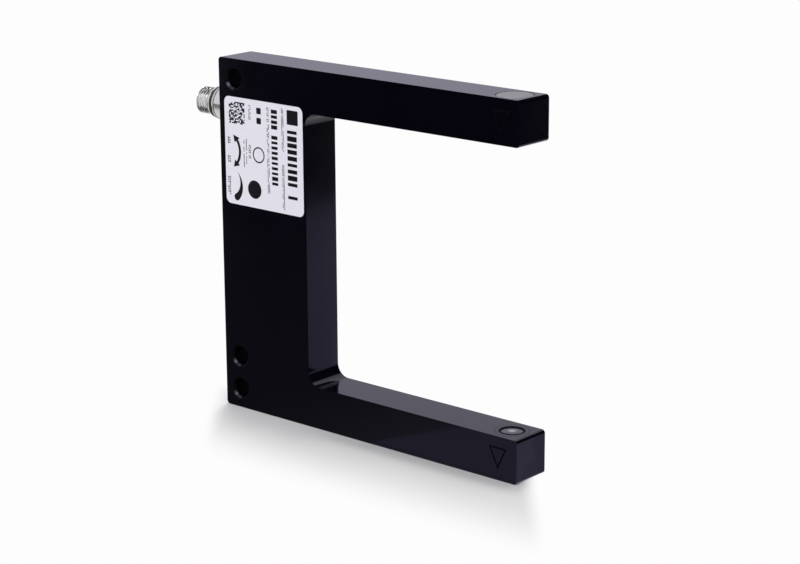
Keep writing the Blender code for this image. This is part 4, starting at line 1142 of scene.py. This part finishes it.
def make_field_tree():
    """A square grid of cells, some of them filled."""
    tree, graph, wires = geometry_tree("print_field", {
        "Side": 0.006, "Rise": 0.0001, "Filled": 0.5, "Seed": 1, "Cells": 10,
    })
    cells = wires["Cells"]
    grid = graph.add("GeometryNodeMeshGrid", None, {
        "Size X": wires["Side"], "Size Y": wires["Side"], "Vertices X": cells, "Vertices Y": cells,
    })
    empty = graph.add("FunctionNodeRandomValue", {"data_type": "BOOLEAN"},
                      {6: 1.0 - wires["Filled"], 8: wires["Seed"]}, 3)
    filled = graph.add("GeometryNodeDeleteGeometry", {"domain": "POINT"},
                       {"Geometry": grid, "Selection": empty})
    points = graph.add("GeometryNodeMeshToPoints", None, {"Mesh": filled})
    side = wires["Side"] / (cells - 1.0) * SQUARE_SHARE
    size = graph.add("ShaderNodeCombineXYZ", None, {"X": side, "Y": side, "Z": wires["Rise"]})
    stock = graph.add("GeometryNodeMeshCube", None, {"Size": (1, 1, 1)})
    squares = graph.add("GeometryNodeInstanceOnPoints", None,
                        {"Points": points, "Instance": stock, "Scale": size})
    close_tree(graph, squares, PRINT_INK)
    return tree


def print_field():
    """A field filled at random, which stands for a printed block and can't be read."""
    field = grown(shown("square_field", bpy.data.meshes.new("square_field")), make_field_tree(),
                  {"Side": FIELD_SIDE, "Rise": INK_RISE, "Filled": FIELD_FILLED, "Seed": 11,
                   "Cells": FIELD_CELLS})
    return put(field, (FIELD_PLACE[0] * FILM_HEIGHT, FIELD_PLACE[1] * FILM_WIDTH, 0))


rows.append(print_field())
print("Squares in the field:", len(rows[-1].data.polygons) // 6)


# %% Drawn shapes
ARROW_STEPS = 24
WEDGE_STEPS = 28


def ink(name, outlines):
    """A thin layer of ink with the given outline and holes, in millimetres down and across the film."""
    scaled = [[(down * MM, across * MM) for down, across in outline] for outline in outlines]
    return flat(name, scaled, INK_RISE)


def around(middle, radius, angle):
    """A point at an angle on a circle."""
    return (middle[0] + radius * math.cos(angle), middle[1] + radius * math.sin(angle))


def double_arrow(middle, mean, width, head, reach, tip):
    """An arc with a head at each end, bulging towards the fork."""
    low, high = math.pi / 2 - reach, math.pi / 2 + reach
    upper = arc(middle, mean + width / 2, high, low, ARROW_STEPS)
    lower = arc(middle, mean - width / 2, low, high, ARROW_STEPS)
    first = [around(middle, mean + head, low), around(middle, mean, low - tip),
             around(middle, mean - head, low)]
    second = [around(middle, mean - head, high), around(middle, mean, high + tip),
              around(middle, mean + head, high)]
    return upper + first + lower + second


def growing_wedge(middle, radius, thickest, start, end):
    """A crescent that starts as a point and ends thick and round."""
    outer = arc(middle, radius, start, end, WEDGE_STEPS)
    cap_middle = around(middle, radius - thickest / 2, end)
    cap = arc(cap_middle, thickest / 2, end, end - math.pi, 10)[1:-1]
    inner = []
    for step in range(WEDGE_STEPS + 1):
        share = 1 - step / WEDGE_STEPS
        inner.append(around(middle, radius - thickest * share, start + (end - start) * share))
    return outer + cap + inner[:-1]


print("A point at a right angle:", around((0, 0), 1.0, math.pi / 2))


# %% Drawings on the film
SWITCH_DOWN, WEDGE_DOWN = 15.9, 26.3
ARROW = double_arrow((SWITCH_DOWN, 0.35), mean=5.6, width=0.9, head=1.25, reach=math.radians(36),
                     tip=math.radians(22))
WEDGE = growing_wedge((WEDGE_DOWN, 1.2), radius=5.6, thickest=2.2, start=math.radians(140),
                      end=math.radians(45))
drawings = [
    ink("arrow", [ARROW]),
    ink("wedge", [WEDGE]),
    ink("disc", [circle(WEDGE_DOWN, 11.6, 2.7)]),
    ink("ring", [circle(SWITCH_DOWN, 13.5, 2.35), circle(SWITCH_DOWN, 13.5, 1.95)]),
    ink("block", [box_outline(1.3, 24.9, 5.5, 29.2, 0.3)]),
    ink("square_1", [box_outline(2.1, 12.9, 3.9, 14.7, 0.2)]),
    ink("square_2", [box_outline(5.0, 12.9, 6.8, 14.7, 0.2)]),
]
print("Drawn shapes:", [drawing.name for drawing in drawings])


# %% One layer of ink
def joined(name, parts):
    """Merges meshes into one object and uses them up."""
    whole = bmesh.new()
    for part in parts:
        whole.from_mesh(part.data)
        bpy.data.objects.remove(part)
    mesh = bpy.data.meshes.new(name)
    whole.to_mesh(mesh)
    whole.free()
    return shown(name, mesh)


dressed(on_label(joined("label_print", rows + drawings)), PRINT_INK, "label_film")

# %% [markdown]
# ## The plug
#
# A round plug of eight millimetres: a collar with one groove against the housing, a neck with its sealing
# ring, a shoulder and the thread. A screw thread is a ridge that climbs one pitch a turn. So the shell is
# first spun as a plain sleeve with many rows of points, and a Geometry Nodes tree then moves each point
# inwards by how far it is along the axis and how far round it is.

# %% Shell sleeve
PLUG_HEIGHT = middle_of("connector_clip")[1]
MOUTH = BACK_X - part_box("connector_shell")[0].x
THREAD_RADIUS = 4.0 * MM
THREAD_START = 7.35 * MM
THREAD_PITCH = 1.0 * MM
THREAD_DEPTH = 0.5 * MM
THREAD_FADE = 0.35 * MM
THREAD_LEAD = 0.3 * MM
THREAD_ROWS = 60
FLANK_STEEPNESS = 1.35
FLANK_LAND = 0.2
NECK_RADIUS = 3.3 * MM
JUST_INSIDE = 0.995


def sleeve_profile():
    """The shell's section as (radius, height), from its mouth down the outside and up its bore."""
    mouth = MOUTH / MM
    top = (MOUTH - THREAD_LEAD) / MM
    start = THREAD_START / MM
    crest = THREAD_RADIUS / MM
    nose = [(3.25, mouth - 0.12), (3.37, mouth), (3.6, mouth), (3.86, mouth - 0.16)]
    thread = [(crest, top - (top - start) * row / THREAD_ROWS) for row in range(THREAD_ROWS + 1)]
    shoulder = [(3.5, 7.3), (3.5, 7.12), (3.58, 7.05), (4.43, 7.05), (4.55, 6.93), (4.55, 6.57), (4.43, 6.45)]
    neck = [(3.3, 6.45), (3.3, 4.95)]
    collar = [(4.78, 4.95), (4.9, 4.91), (5.0, 4.75), (5.0, 4.36)]
    groove = [(4.96, 4.33), (4.5, 4.3), (4.45, 4.1), (4.5, 3.9), (4.96, 3.87), (5.0, 3.84)]
    foot = [(5.0, 0.3), (4.88, 0.15), (3.5, 0.15)]
    tail = [(3.5, -2.6), (3.1, -2.6), (3.1, -3.6), (3.5, -3.6), (3.5, -8.0)]
    bore = [(2.9, -8.0), (2.9, mouth - 8.2), (3.25, mouth - 8.2)]
    section = nose + thread + shoulder + neck + collar + groove + foot + tail + bore
    return [(radius * MM, height * MM) for radius, height in section]


def make_thread_tree():
    """Moves the outer points of a sleeve along Z inwards, in a ridge that climbs one pitch a turn."""
    tree, graph, wires = geometry_tree("rolled_thread", {
        "Pitch": 0.001, "Depth": 0.0005, "Crest": 0.004, "Start": 0.0, "End": 0.01, "Fade": 0.0004,
    })
    place = graph.add("GeometryNodeInputPosition")
    across, up, along = [graph.add("ShaderNodeSeparateXYZ", None, {0: place}, axis) for axis in range(3)]
    angle = graph.add("ShaderNodeMath", {"operation": "ARCTAN2"}, {0: up, 1: across})
    phase = along / wires["Pitch"] + angle / (2 * math.pi)
    groove = graph.add("ShaderNodeMath", {"operation": "PINGPONG"}, {0: phase, 1: 0.5}) * 2.0
    flank = graph.add("ShaderNodeClamp", None, {0: groove * FLANK_STEEPNESS - FLANK_LAND})
    reach = graph.add("ShaderNodeVectorMath", {"operation": "LENGTH"},
                      {0: graph.add("ShaderNodeCombineXYZ", None, {"X": across, "Y": up})}, "Value")
    outer = graph.add("ShaderNodeMath", {"operation": "GREATER_THAN"},
                      {0: reach, 1: wires["Crest"] * JUST_INSIDE})
    fade_in = graph.add("ShaderNodeClamp", None, {0: (along - wires["Start"]) / wires["Fade"]})
    fade_out = graph.add("ShaderNodeClamp", None, {0: (wires["End"] - along) / wires["Fade"]})
    sunk = flank * wires["Depth"] * outer * fade_in * fade_out
    shrink = 0.0 - sunk / reach
    offset = graph.add("ShaderNodeCombineXYZ", None, {"X": across * shrink, "Y": up * shrink})
    moved = graph.add("GeometryNodeSetPosition", None, {"Geometry": wires["Geometry"], "Offset": offset})
    close_tree(graph, moved, NICKEL)
    return tree


def make_shell():
    """The plated shell with its collar, its shoulder and the rolled thread."""
    shell = turned("plug_shell", sleeve_profile(), 128, ring=True)
    shell = grown(shell, make_thread_tree(), {
        "Pitch": THREAD_PITCH, "Depth": THREAD_DEPTH, "Crest": THREAD_RADIUS, "Start": THREAD_START,
        "End": MOUTH - THREAD_LEAD, "Fade": THREAD_FADE,
    })
    smooth(put(shell, at(0, 0, PLUG_HEIGHT), FACING_BACK), 38)
    return dressed(shell, NICKEL, "nickel", "connector_shell")


make_shell()

# %% Sealing ring
RING_PLACE = 5.7 * MM
RING_RADIUS = NECK_RADIUS + 0.85 * MM
RING_SECTION = 0.65 * MM


def make_oring():
    """A rubber ring round the plug's neck."""
    section = arc((RING_RADIUS, 0), RING_SECTION, math.pi / 2, -3 * math.pi / 2, 24)[:-1]
    ring = turned("sealing_ring", section, FINE_SIDES, ring=True)
    put(ring, at(-RING_PLACE, 0, PLUG_HEIGHT), FACING_BACK)
    return dressed(smooth(ring, 60), BLACK_RUBBER, "black_rubber", "connector_oring")


make_oring()

# %% Contact carrier and pins
PINS = [f"connector_pin_{index}" for index in (1, 2, 3)]
PIN_RADIUS = 0.5 * MM
PIN_TAPER = 0.1 * MM
PIN_HOLE = 0.7 * MM
CARRIER_RADIUS = 2.7 * MM
CARRIER_EDGE = 0.12 * MM
CARRIER_DROP = 7.8 * MM
CARRIER_TAIL = -8 * MM
KEY_LENGTH = 4.5 * MM
KEY_WIDTH = 1.0 * MM
KEY_RISE = 0.7 * MM
THROUGH = 30 * MM


def on_back_face(node):
    """The place on the back face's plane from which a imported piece's axis starts."""
    low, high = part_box(node)
    middle = (low + high) / 2
    return Vector((BACK_X, middle.y, middle.z))


def make_insert():
    """The contact carrier with its key and a clear hole round each pin."""
    top = MOUTH - CARRIER_DROP
    profile = [(0, top), (CARRIER_RADIUS - CARRIER_EDGE, top), (CARRIER_RADIUS, top - CARRIER_EDGE),
               (CARRIER_RADIUS, CARRIER_TAIL), (0, CARRIER_TAIL)]
    insert = put(turned("contact_carrier", profile), at(0, 0, PLUG_HEIGHT), FACING_BACK)
    hole = [(0, THROUGH), (PIN_HOLE, THROUGH), (PIN_HOLE, -THROUGH), (0, -THROUGH)]
    for node in PINS:
        boolean(insert, put(turned("hole", hole, 32), on_back_face(node), FACING_BACK))
    key_middle = top - KEY_RISE + KEY_LENGTH / 2
    key_height = PLUG_HEIGHT - CARRIER_RADIUS + KEY_RISE / 2
    key = put(block("key", (KEY_LENGTH, KEY_WIDTH, KEY_RISE)), at(-key_middle, 0, key_height))
    boolean(insert, bevelled(key, CARRIER_EDGE, segments=2), "UNION")
    return dressed(smooth(insert, 30), BLACK_PLASTIC, "black_plastic", "connector_insert")


def make_pins():
    """Three contact pins with round noses."""
    parts = []
    for node in PINS:
        low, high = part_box(node)
        nose = BACK_X - low.x
        tail = BACK_X - high.x
        profile = [(0, nose)]
        for angle in (0.4, 0.8, 1.2, math.pi / 2):
            profile.append((PIN_RADIUS * math.sin(angle), nose - PIN_RADIUS * (1 - math.cos(angle))))
        profile += [(PIN_RADIUS, tail + PIN_TAPER), (PIN_RADIUS - PIN_TAPER, tail), (0, tail)]
        parts.append(put(turned("pin", profile, SMALL_SIDES), on_back_face(node), FACING_BACK))
    return dressed(smooth(joined("contact_pins", parts), 40), GOLD_PLATE, "gold_plate", *PINS)


make_insert()
make_pins()

# %% [markdown]
# ## Caps and lenses in the arm tips
#
# Each tip is closed by a round cap on its outside, and looks through a small domed lens into the gap. The
# lens is a dark plastic that lets only infrared through, so it hides the diode and mirrors the room.

# %% Caps and lenses
FLANGE_RADIUS = 4.0 * MM
FLANGE_HEIGHT = 1.2 * MM
CAP_RIM = 0.35 * MM
CAP_EASE = 0.08 * MM
LENS_DOME = 0.2 * MM
LENS_RECESS = 0.05 * MM
LENS_STEPS = 24
LIP_RISE = 0.1 * MM
LIP_WIDTH = 0.25 * MM


def make_cap(name, gap_face, turn):
    """A flat round cap with a soft rim."""
    face = ARM_HEIGHT
    seat = face - CAP_RECESS - CAP_THICKNESS
    low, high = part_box(name + "_cap")
    radius = (high.y - low.y) / 2 + CAP_EASE
    end = seat - (high.z - low.z - CAP_THICKNESS)
    rim = arc((radius - CAP_RIM, face - CAP_RIM), CAP_RIM, math.pi / 2, 0, 8)
    profile = [(0, face), *rim, (radius, seat), (FLANGE_RADIUS, seat), (FLANGE_RADIUS, end), (0, end)]
    cap = put(turned(name + "_cap_disc", profile, FINE_SIDES), at(BEAM_DEPTH, 0, gap_face), turn)
    return dressed(smooth(cap, 30), GREY_PLASTIC, "grey_plastic", name + "_cap")


def make_lens(name, gap_face, turn):
    """A domed lens with its flange inside the arm, its skirt and lip painted matt black as the shade in the gap
    round it.
    """
    clear = LENS_RADIUS - LIP_WIDTH
    sphere = (clear ** 2 + LENS_DOME ** 2) / (2 * LENS_DOME)
    reach = math.asin(clear / sphere)
    low = LENS_LEDGE + SIDE_GAP
    high = low + FLANGE_HEIGHT
    profile = [(0, high), (FLANGE_RADIUS, high), (FLANGE_RADIUS, low), (LENS_RADIUS, low),
               (LENS_RADIUS, -LIP_RISE), (clear, -LIP_RISE)]
    for step in range(LENS_STEPS + 1):
        angle = reach * (1 - step / LENS_STEPS)
        profile.append((sphere * math.sin(angle), LENS_RECESS + sphere * (1 - math.cos(angle))))
    lens = put(turned(name + "_lens_dome", profile, FINE_SIDES), at(BEAM_DEPTH, 0, gap_face), turn)
    dressed(smooth(lens, 30), LENS_PLASTIC, "lens_plastic", name + "_lens")
    # Painted shade: the lip and skirt beyond the clear dome get the matt black, a dark ring like the shade in
    # the gap round the lens
    edge = clear * JUST_INSIDE
    return repainted(lens, MATT_BLACK_AND_SHADE, lambda place: math.hypot(place.x - BEAM_X, place.y) > edge)


TIPS = (("emitter", mirrored(ARM_HEIGHT), FACING_UP), ("receiver", ARM_HEIGHT, FACING_DOWN))
for name, gap_face, turn in TIPS:
    make_cap(name, gap_face, turn)
    make_lens(name, gap_face, turn)

# %% [markdown]
# ## Adjusters and status light
#
# Two small rotors sit in the back face, below the plug. Each has a screwdriver slot and a pointer notch, and
# each rides on its own body, so it turns with its joint. The amber window of the status light is below them.

# %% Rotors
STEP_DEPTH = -2.6 * MM
ROTOR_EDGE = 0.15 * MM
STEM_RADIUS = 1.0 * MM
SLOT_DEPTH = 0.8 * MM
SLOT_WIDTH = 0.7 * MM
POINTER_RIM = 0.3 * MM
POINTER_LENGTH = 0.9 * MM
POINTER_WIDTH = 1.7 * MM
POINTER_DEPTH = 0.3 * MM


def make_rotor(node, body):
    """A rotor's head with its slot and pointer notch, and the stem behind it."""
    low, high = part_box(node)
    height = (low.z + high.z) / 2
    radius = (high.z - low.z) / 2
    face = BACK_X - low.x
    end = BACK_X - high.x
    rim = arc((radius - ROTOR_EDGE, face - ROTOR_EDGE), ROTOR_EDGE, math.pi / 2, 0, 5)
    profile = [(0, face), *rim, (radius, STEP_DEPTH), (STEM_RADIUS, STEP_DEPTH), (STEM_RADIUS, end), (0, end)]
    rotor = put(turned(node + "_head", profile), at(0, 0, height), FACING_BACK)
    boolean(rotor, put(block("slot", (2 * SLOT_DEPTH, SLOT_WIDTH, 4 * radius)), at(-face, 0, height)))
    tip = radius - POINTER_RIM
    base = tip - POINTER_LENGTH
    arrow = [(tip, 0), (base, POINTER_WIDTH / 2), (base, -POINTER_WIDTH / 2)]
    boolean(rotor, put(flat("pointer", [arrow], 2 * POINTER_DEPTH), at(-face, 0, height), FACING_BACK))
    return dressed(smooth(rotor, 30), WHITE_PLASTIC, "white_plastic", node, body=body)


make_rotor("mode_rotor", "mode_adjuster")
make_rotor("sensitivity_rotor", "sensitivity_adjuster")

# %% Status window
WINDOW_RADIUS = 1.5 * MM
WINDOW_EDGE = 0.3 * MM
WINDOW_FLANGE = 2.0 * MM


def make_window():
    """A tinted window with a flange behind the wall that keeps it in."""
    low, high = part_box("indicator_lens")
    top = BACK_X - low.x
    end = BACK_X - high.x
    rim = arc((WINDOW_RADIUS - WINDOW_EDGE, top - WINDOW_EDGE), WINDOW_EDGE, math.pi / 2, 0, 8)
    profile = [(0, top), *rim, (WINDOW_RADIUS, STEP_DEPTH), (WINDOW_FLANGE, STEP_DEPTH), (WINDOW_FLANGE, end),
               (0, end)]
    window = put(turned("status_window", profile), at(0, 0, (low.z + high.z) / 2), FACING_BACK)
    return dressed(smooth(window, 30), AMBER_PLASTIC, "amber_plastic", "indicator_lens")


make_window()

# %% [markdown]
# ## Finishes for the pieces inside
#
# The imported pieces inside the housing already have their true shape, so they keep it and only change their
# material. A finish is chosen by what the piece is made of.

# %% Finishes inside
INNER_FINISHES = {
    "cover_seal": BLACK_RUBBER,
    "connector_clip": STEEL,
    "mode_switch": BLACK_PLASTIC,
    "sensitivity_pot": BLACK_PLASTIC,
    "indicator_led": WHITE_PLASTIC,
    "main_board": BOARD_GREEN,
    "board_screw_1": STEEL,
    "board_screw_2": STEEL,
    "controller_chip": CHIP_BLACK,
    "output_driver": CHIP_BLACK,
    "regulator": CHIP_BLACK,
    "filter_inductor": CHIP_BLACK,
    "storage_capacitor": STEEL,
}
for index in (1, 2, 3):
    INNER_FINISHES[f"connector_lead_{index}"] = WIRE_BLUE
for side in ("emitter", "receiver"):
    INNER_FINISHES[side + "_barrel"] = BLACK_PLASTIC
    INNER_FINISHES[side + "_diode"] = WHITE_PLASTIC
    INNER_FINISHES[side + "_board"] = BOARD_GREEN
    for index in (1, 2):
        INNER_FINISHES[f"{side}_wire_{index}"] = WIRE_RED
for node, material in INNER_FINISHES.items():
    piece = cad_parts[node]
    piece.data.materials.clear()
    piece.data.materials.append(material)
print("Inner pieces finished:", len(INNER_FINISHES))

# %% [markdown]
# ## Floor, light and cards
#
# The sensor stands on a pale floor in soft light, and the floor's colour carries a painted shadow before it. A
# black glossy object is lit by what it mirrors. So a product photographer surrounds it with white and lays dark
# cards where a face should stay deep black. The cards here are seen by reflections alone: they throw no shadow
# and no camera sees them.

# %% Floor and backdrop
WHITE = (0.982, 0.982, 0.982, 1.0)


def seen_rays(graph):
    """One for camera, glossy and transmission rays, nought for the rays that light other surfaces."""
    seen = [graph.add("ShaderNodeLightPath", out=ray) for ray in
            ("Is Camera Ray", "Is Glossy Ray", "Is Transmission Ray")]
    return graph.add("ShaderNodeClamp", None, {0: seen[0] + seen[1] + seen[2]})


# Where the floor keeps its shadow: how far the patch leans, its left and right side and their soft edge, and
# how far in front of the object it is full and gone
SHADOW_LEAN = 0.87
SHADOW_SIDES = (-54 * MM, 56 * MM, 8 * MM)
SHADOW_DEPTH = (10 * MM, 46 * MM)

# The paper's colour, darker to the right as painted shadow before the object, as (place across, tone) at both
# ends of its change
PALE_END = (-22 * MM, 0.82)
PAINTED_SHADOW_END = (10 * MM, 0.655)


def eased(graph, value, start, end):
    """Rises smoothly from 0 to 1 as the value goes from start to end."""
    return graph.add("ShaderNodeMapRange", {"interpolation_type": "SMOOTHSTEP"}, {0: value, 1: start, 2: end})


def ground_axes(graph):
    """The place across, along X, and along, along Y, of a sheet that lies on the ground."""
    place = graph.add("ShaderNodeTexCoord", out="Object")
    return [graph.add("ShaderNodeSeparateXYZ", None, {0: place}, axis) for axis in (0, 1)]


def make_floor_finish():
    """Pale paper that keeps the soft shadow before the object, deepened by painted shadow in its colour, and
    turns plain white further out.
    """
    made = bpy.data.materials.new("pale_floor")
    made.use_nodes = True
    tree = made.node_tree
    tree.nodes.clear()
    graph = Graph(tree)
    across, along = ground_axes(graph)
    leaning = across + along * SHADOW_LEAN
    left, right, soft = SHADOW_SIDES
    full, gone = SHADOW_DEPTH
    kept = eased(graph, leaning, left - soft, left) * eased(graph, leaning, right + soft, right)
    kept = kept * eased(graph, along, -gone, -full) * eased(graph, along, soft, 0.0)
    share = seen_rays(graph) * (1.0 - kept)
    # Painted shadow: the paper darkens from left to right across the patch before the object
    shade = graph.add("ShaderNodeMapRange", None, {0: across, 1: PALE_END[0], 2: PAINTED_SHADOW_END[0],
                                                   3: PALE_END[1], 4: PAINTED_SHADOW_END[1]})
    colour = graph.add("ShaderNodeCombineXYZ", None, {"X": shade, "Y": shade, "Z": shade})
    paper = graph.add("ShaderNodeBsdfDiffuse", None, {"Color": colour})
    white = graph.add("ShaderNodeEmission", None, {"Color": WHITE, "Strength": 1.0})
    mixed = graph.add("ShaderNodeMixShader", None, {0: share, 1: paper, 2: white})
    graph.add("ShaderNodeOutputMaterial", None, {"Surface": mixed})
    return made


def stage_plane(name, corners, material):
    """A flat four-sided sheet that belongs to the studio and not to the object."""
    mesh = bpy.data.meshes.new(name)
    mesh.from_pydata(corners, [], [(0, 1, 2, 3)])
    mesh.materials.append(material)
    plane = shown(name, mesh)
    return plane


FLOOR_SIZE = 4.0
FLOOR_LEVEL = -0.04 * MM
FLOOR_CORNERS = [(across * FLOOR_SIZE, along * FLOOR_SIZE, FLOOR_LEVEL)
                 for across, along in ((-1, -1), (1, -1), (1, 1), (-1, 1))]
stage_plane("floor", FLOOR_CORNERS, make_floor_finish())

WORLD_LEVEL = 0.8
WORLD_COLOUR = (0.98, 0.975, 1.0, 1.0)


def make_world():
    """White for what is seen, a plain level for what lights the object."""
    world = bpy.data.worlds.new("studio")
    world.use_nodes = True
    world.node_tree.nodes.clear()
    graph = Graph(world.node_tree)
    backdrop = graph.add("ShaderNodeBackground", None, {"Color": WHITE, "Strength": 1.0})
    light = graph.add("ShaderNodeBackground", None, {"Color": WORLD_COLOUR, "Strength": WORLD_LEVEL})
    mixed = graph.add("ShaderNodeMixShader", None, {0: seen_rays(graph), 1: light, 2: backdrop})
    graph.add("ShaderNodeOutputWorld", None, {"Surface": mixed})
    bpy.context.scene.world = world


make_world()
print("Floor and backdrop are set")


# %% Lamps
def soft_lamp(name, place, size, power):
    """A square lamp that points at the object's middle."""
    data = bpy.data.lights.new(name, "AREA")
    data.shape = "SQUARE"
    data.size = size
    data.energy = power
    lamp = bpy.data.objects.new(name, data)
    lamp.location = place
    lamp.rotation_euler = (OBJECT_MIDDLE - Vector(place)).to_track_quat("-Z", "Y").to_euler()
    bpy.context.scene.collection.objects.link(lamp)


soft_lamp("key", (0.28, -0.57, 0.68), size=0.4, power=1.6)
soft_lamp("overhead", (-0.25, 0.35, 0.9), size=0.4, power=3.0)
print("Lamps are set")


# %% Cards that only reflections see
def one(graph):
    """The even brightness of a plain card."""
    return 1.0


def mirror_card(name, colour, corners, brightness=one):
    """A card that only reflections see. Its corners are given in millimetres."""
    material = bpy.data.materials.new(name)
    material.use_nodes = True
    material.node_tree.nodes.clear()
    graph = Graph(material.node_tree)
    glow = graph.add("ShaderNodeEmission", None, {"Color": (*colour, 1.0), "Strength": brightness(graph)})
    graph.add("ShaderNodeOutputMaterial", None, {"Surface": glow})
    card = stage_plane(name, [Vector(corner) * MM for corner in corners], material)
    card.visible_camera = False
    card.visible_diffuse = False
    card.visible_transmission = False
    card.visible_shadow = False


def floor_card(name, colour, corners, brightness=one):
    """A card lying just over the floor."""
    mirror_card(name, colour, [(x, y, FLOOR_LEVEL / MM / 2) for x, y in corners], brightness)


print("A card on the floor lies at, mm:", FLOOR_LEVEL / MM / 2)

# %% Cards
NEAR_LEVEL = 0.075
TIP_LEVEL = 0.2
LOOK_BACK = (0.656, 0.755)


def dimming(graph):
    """Dark in the distance, paler close to the object and palest below the arm's tip."""
    across, along = ground_axes(graph)
    near = graph.add("ShaderNodeMapRange", None, {0: along, 1: -0.3, 2: 0.0, 3: 0.0, 4: NEAR_LEVEL})
    tip = eased(graph, across, -0.05, 0.06) * eased(graph, along, -0.06, -0.03)
    return near + tip * TIP_LEVEL


def away(x, y, reach):
    """A place on the floor, at some reach from (x, y) along the line on which the side faces look back."""
    return x + LOOK_BACK[0] * reach, y + LOOK_BACK[1] * reach


# Corners in millimetres: (x, y) on the floor, or (x, y, z)
WALL_X = (BACK_X + SPINE_WIDTH) / MM
TIP_X = (BACK_X + LENGTH) / MM
STRIP_Y = 4.0
floor_card("front_card", (1.0, 1.0, 1.0), [(-60, -2), (-2485, -2274), (-1100, -2274), (61, -2)], dimming)
floor_card("left_card", (0.04, 0.04, 0.04), [(-600, -130), (-225, -130), (-225, 130), (-600, 130)])
floor_card("tip_card", (0.54, 0.51, 0.73),
           [away(TIP_X, -60, 0), away(TIP_X, -60, 70), away(TIP_X, STRIP_Y, 70), away(TIP_X, STRIP_Y, 0)])
floor_card("side_card", (0.39, 0.36, 0.56),
           [away(WALL_X, -120, 70), away(WALL_X, -120, 285),
            away(WALL_X, STRIP_Y, 285), away(WALL_X, STRIP_Y, 20)])
floor_card("far_card", (0.0, 0.0, 0.0),
           [away(WALL_X, -300, 286), away(WALL_X, -300, 1500), away(WALL_X, 12, 1500), away(WALL_X, 12, 286)])
mirror_card("back_card", (0.6, 0.58, 0.7), [(-700, 250, 0), (60, 250, 0), (60, 250, 220), (-700, 250, 220)])
mirror_card("rounding_card", (0.0, 0.0, 0.0), [(10, 60, 138), (130, 60, 138), (130, 60, 200), (10, 60, 200)])
mirror_card("horizon_card", (0.0, 0.0, 0.0),
            [(200, 650, 0), (900, 200, 0), (900, 200, 1100), (200, 650, 1100)])
bpy.context.scene.view_settings.view_transform = "Standard"
print("Studio is set")
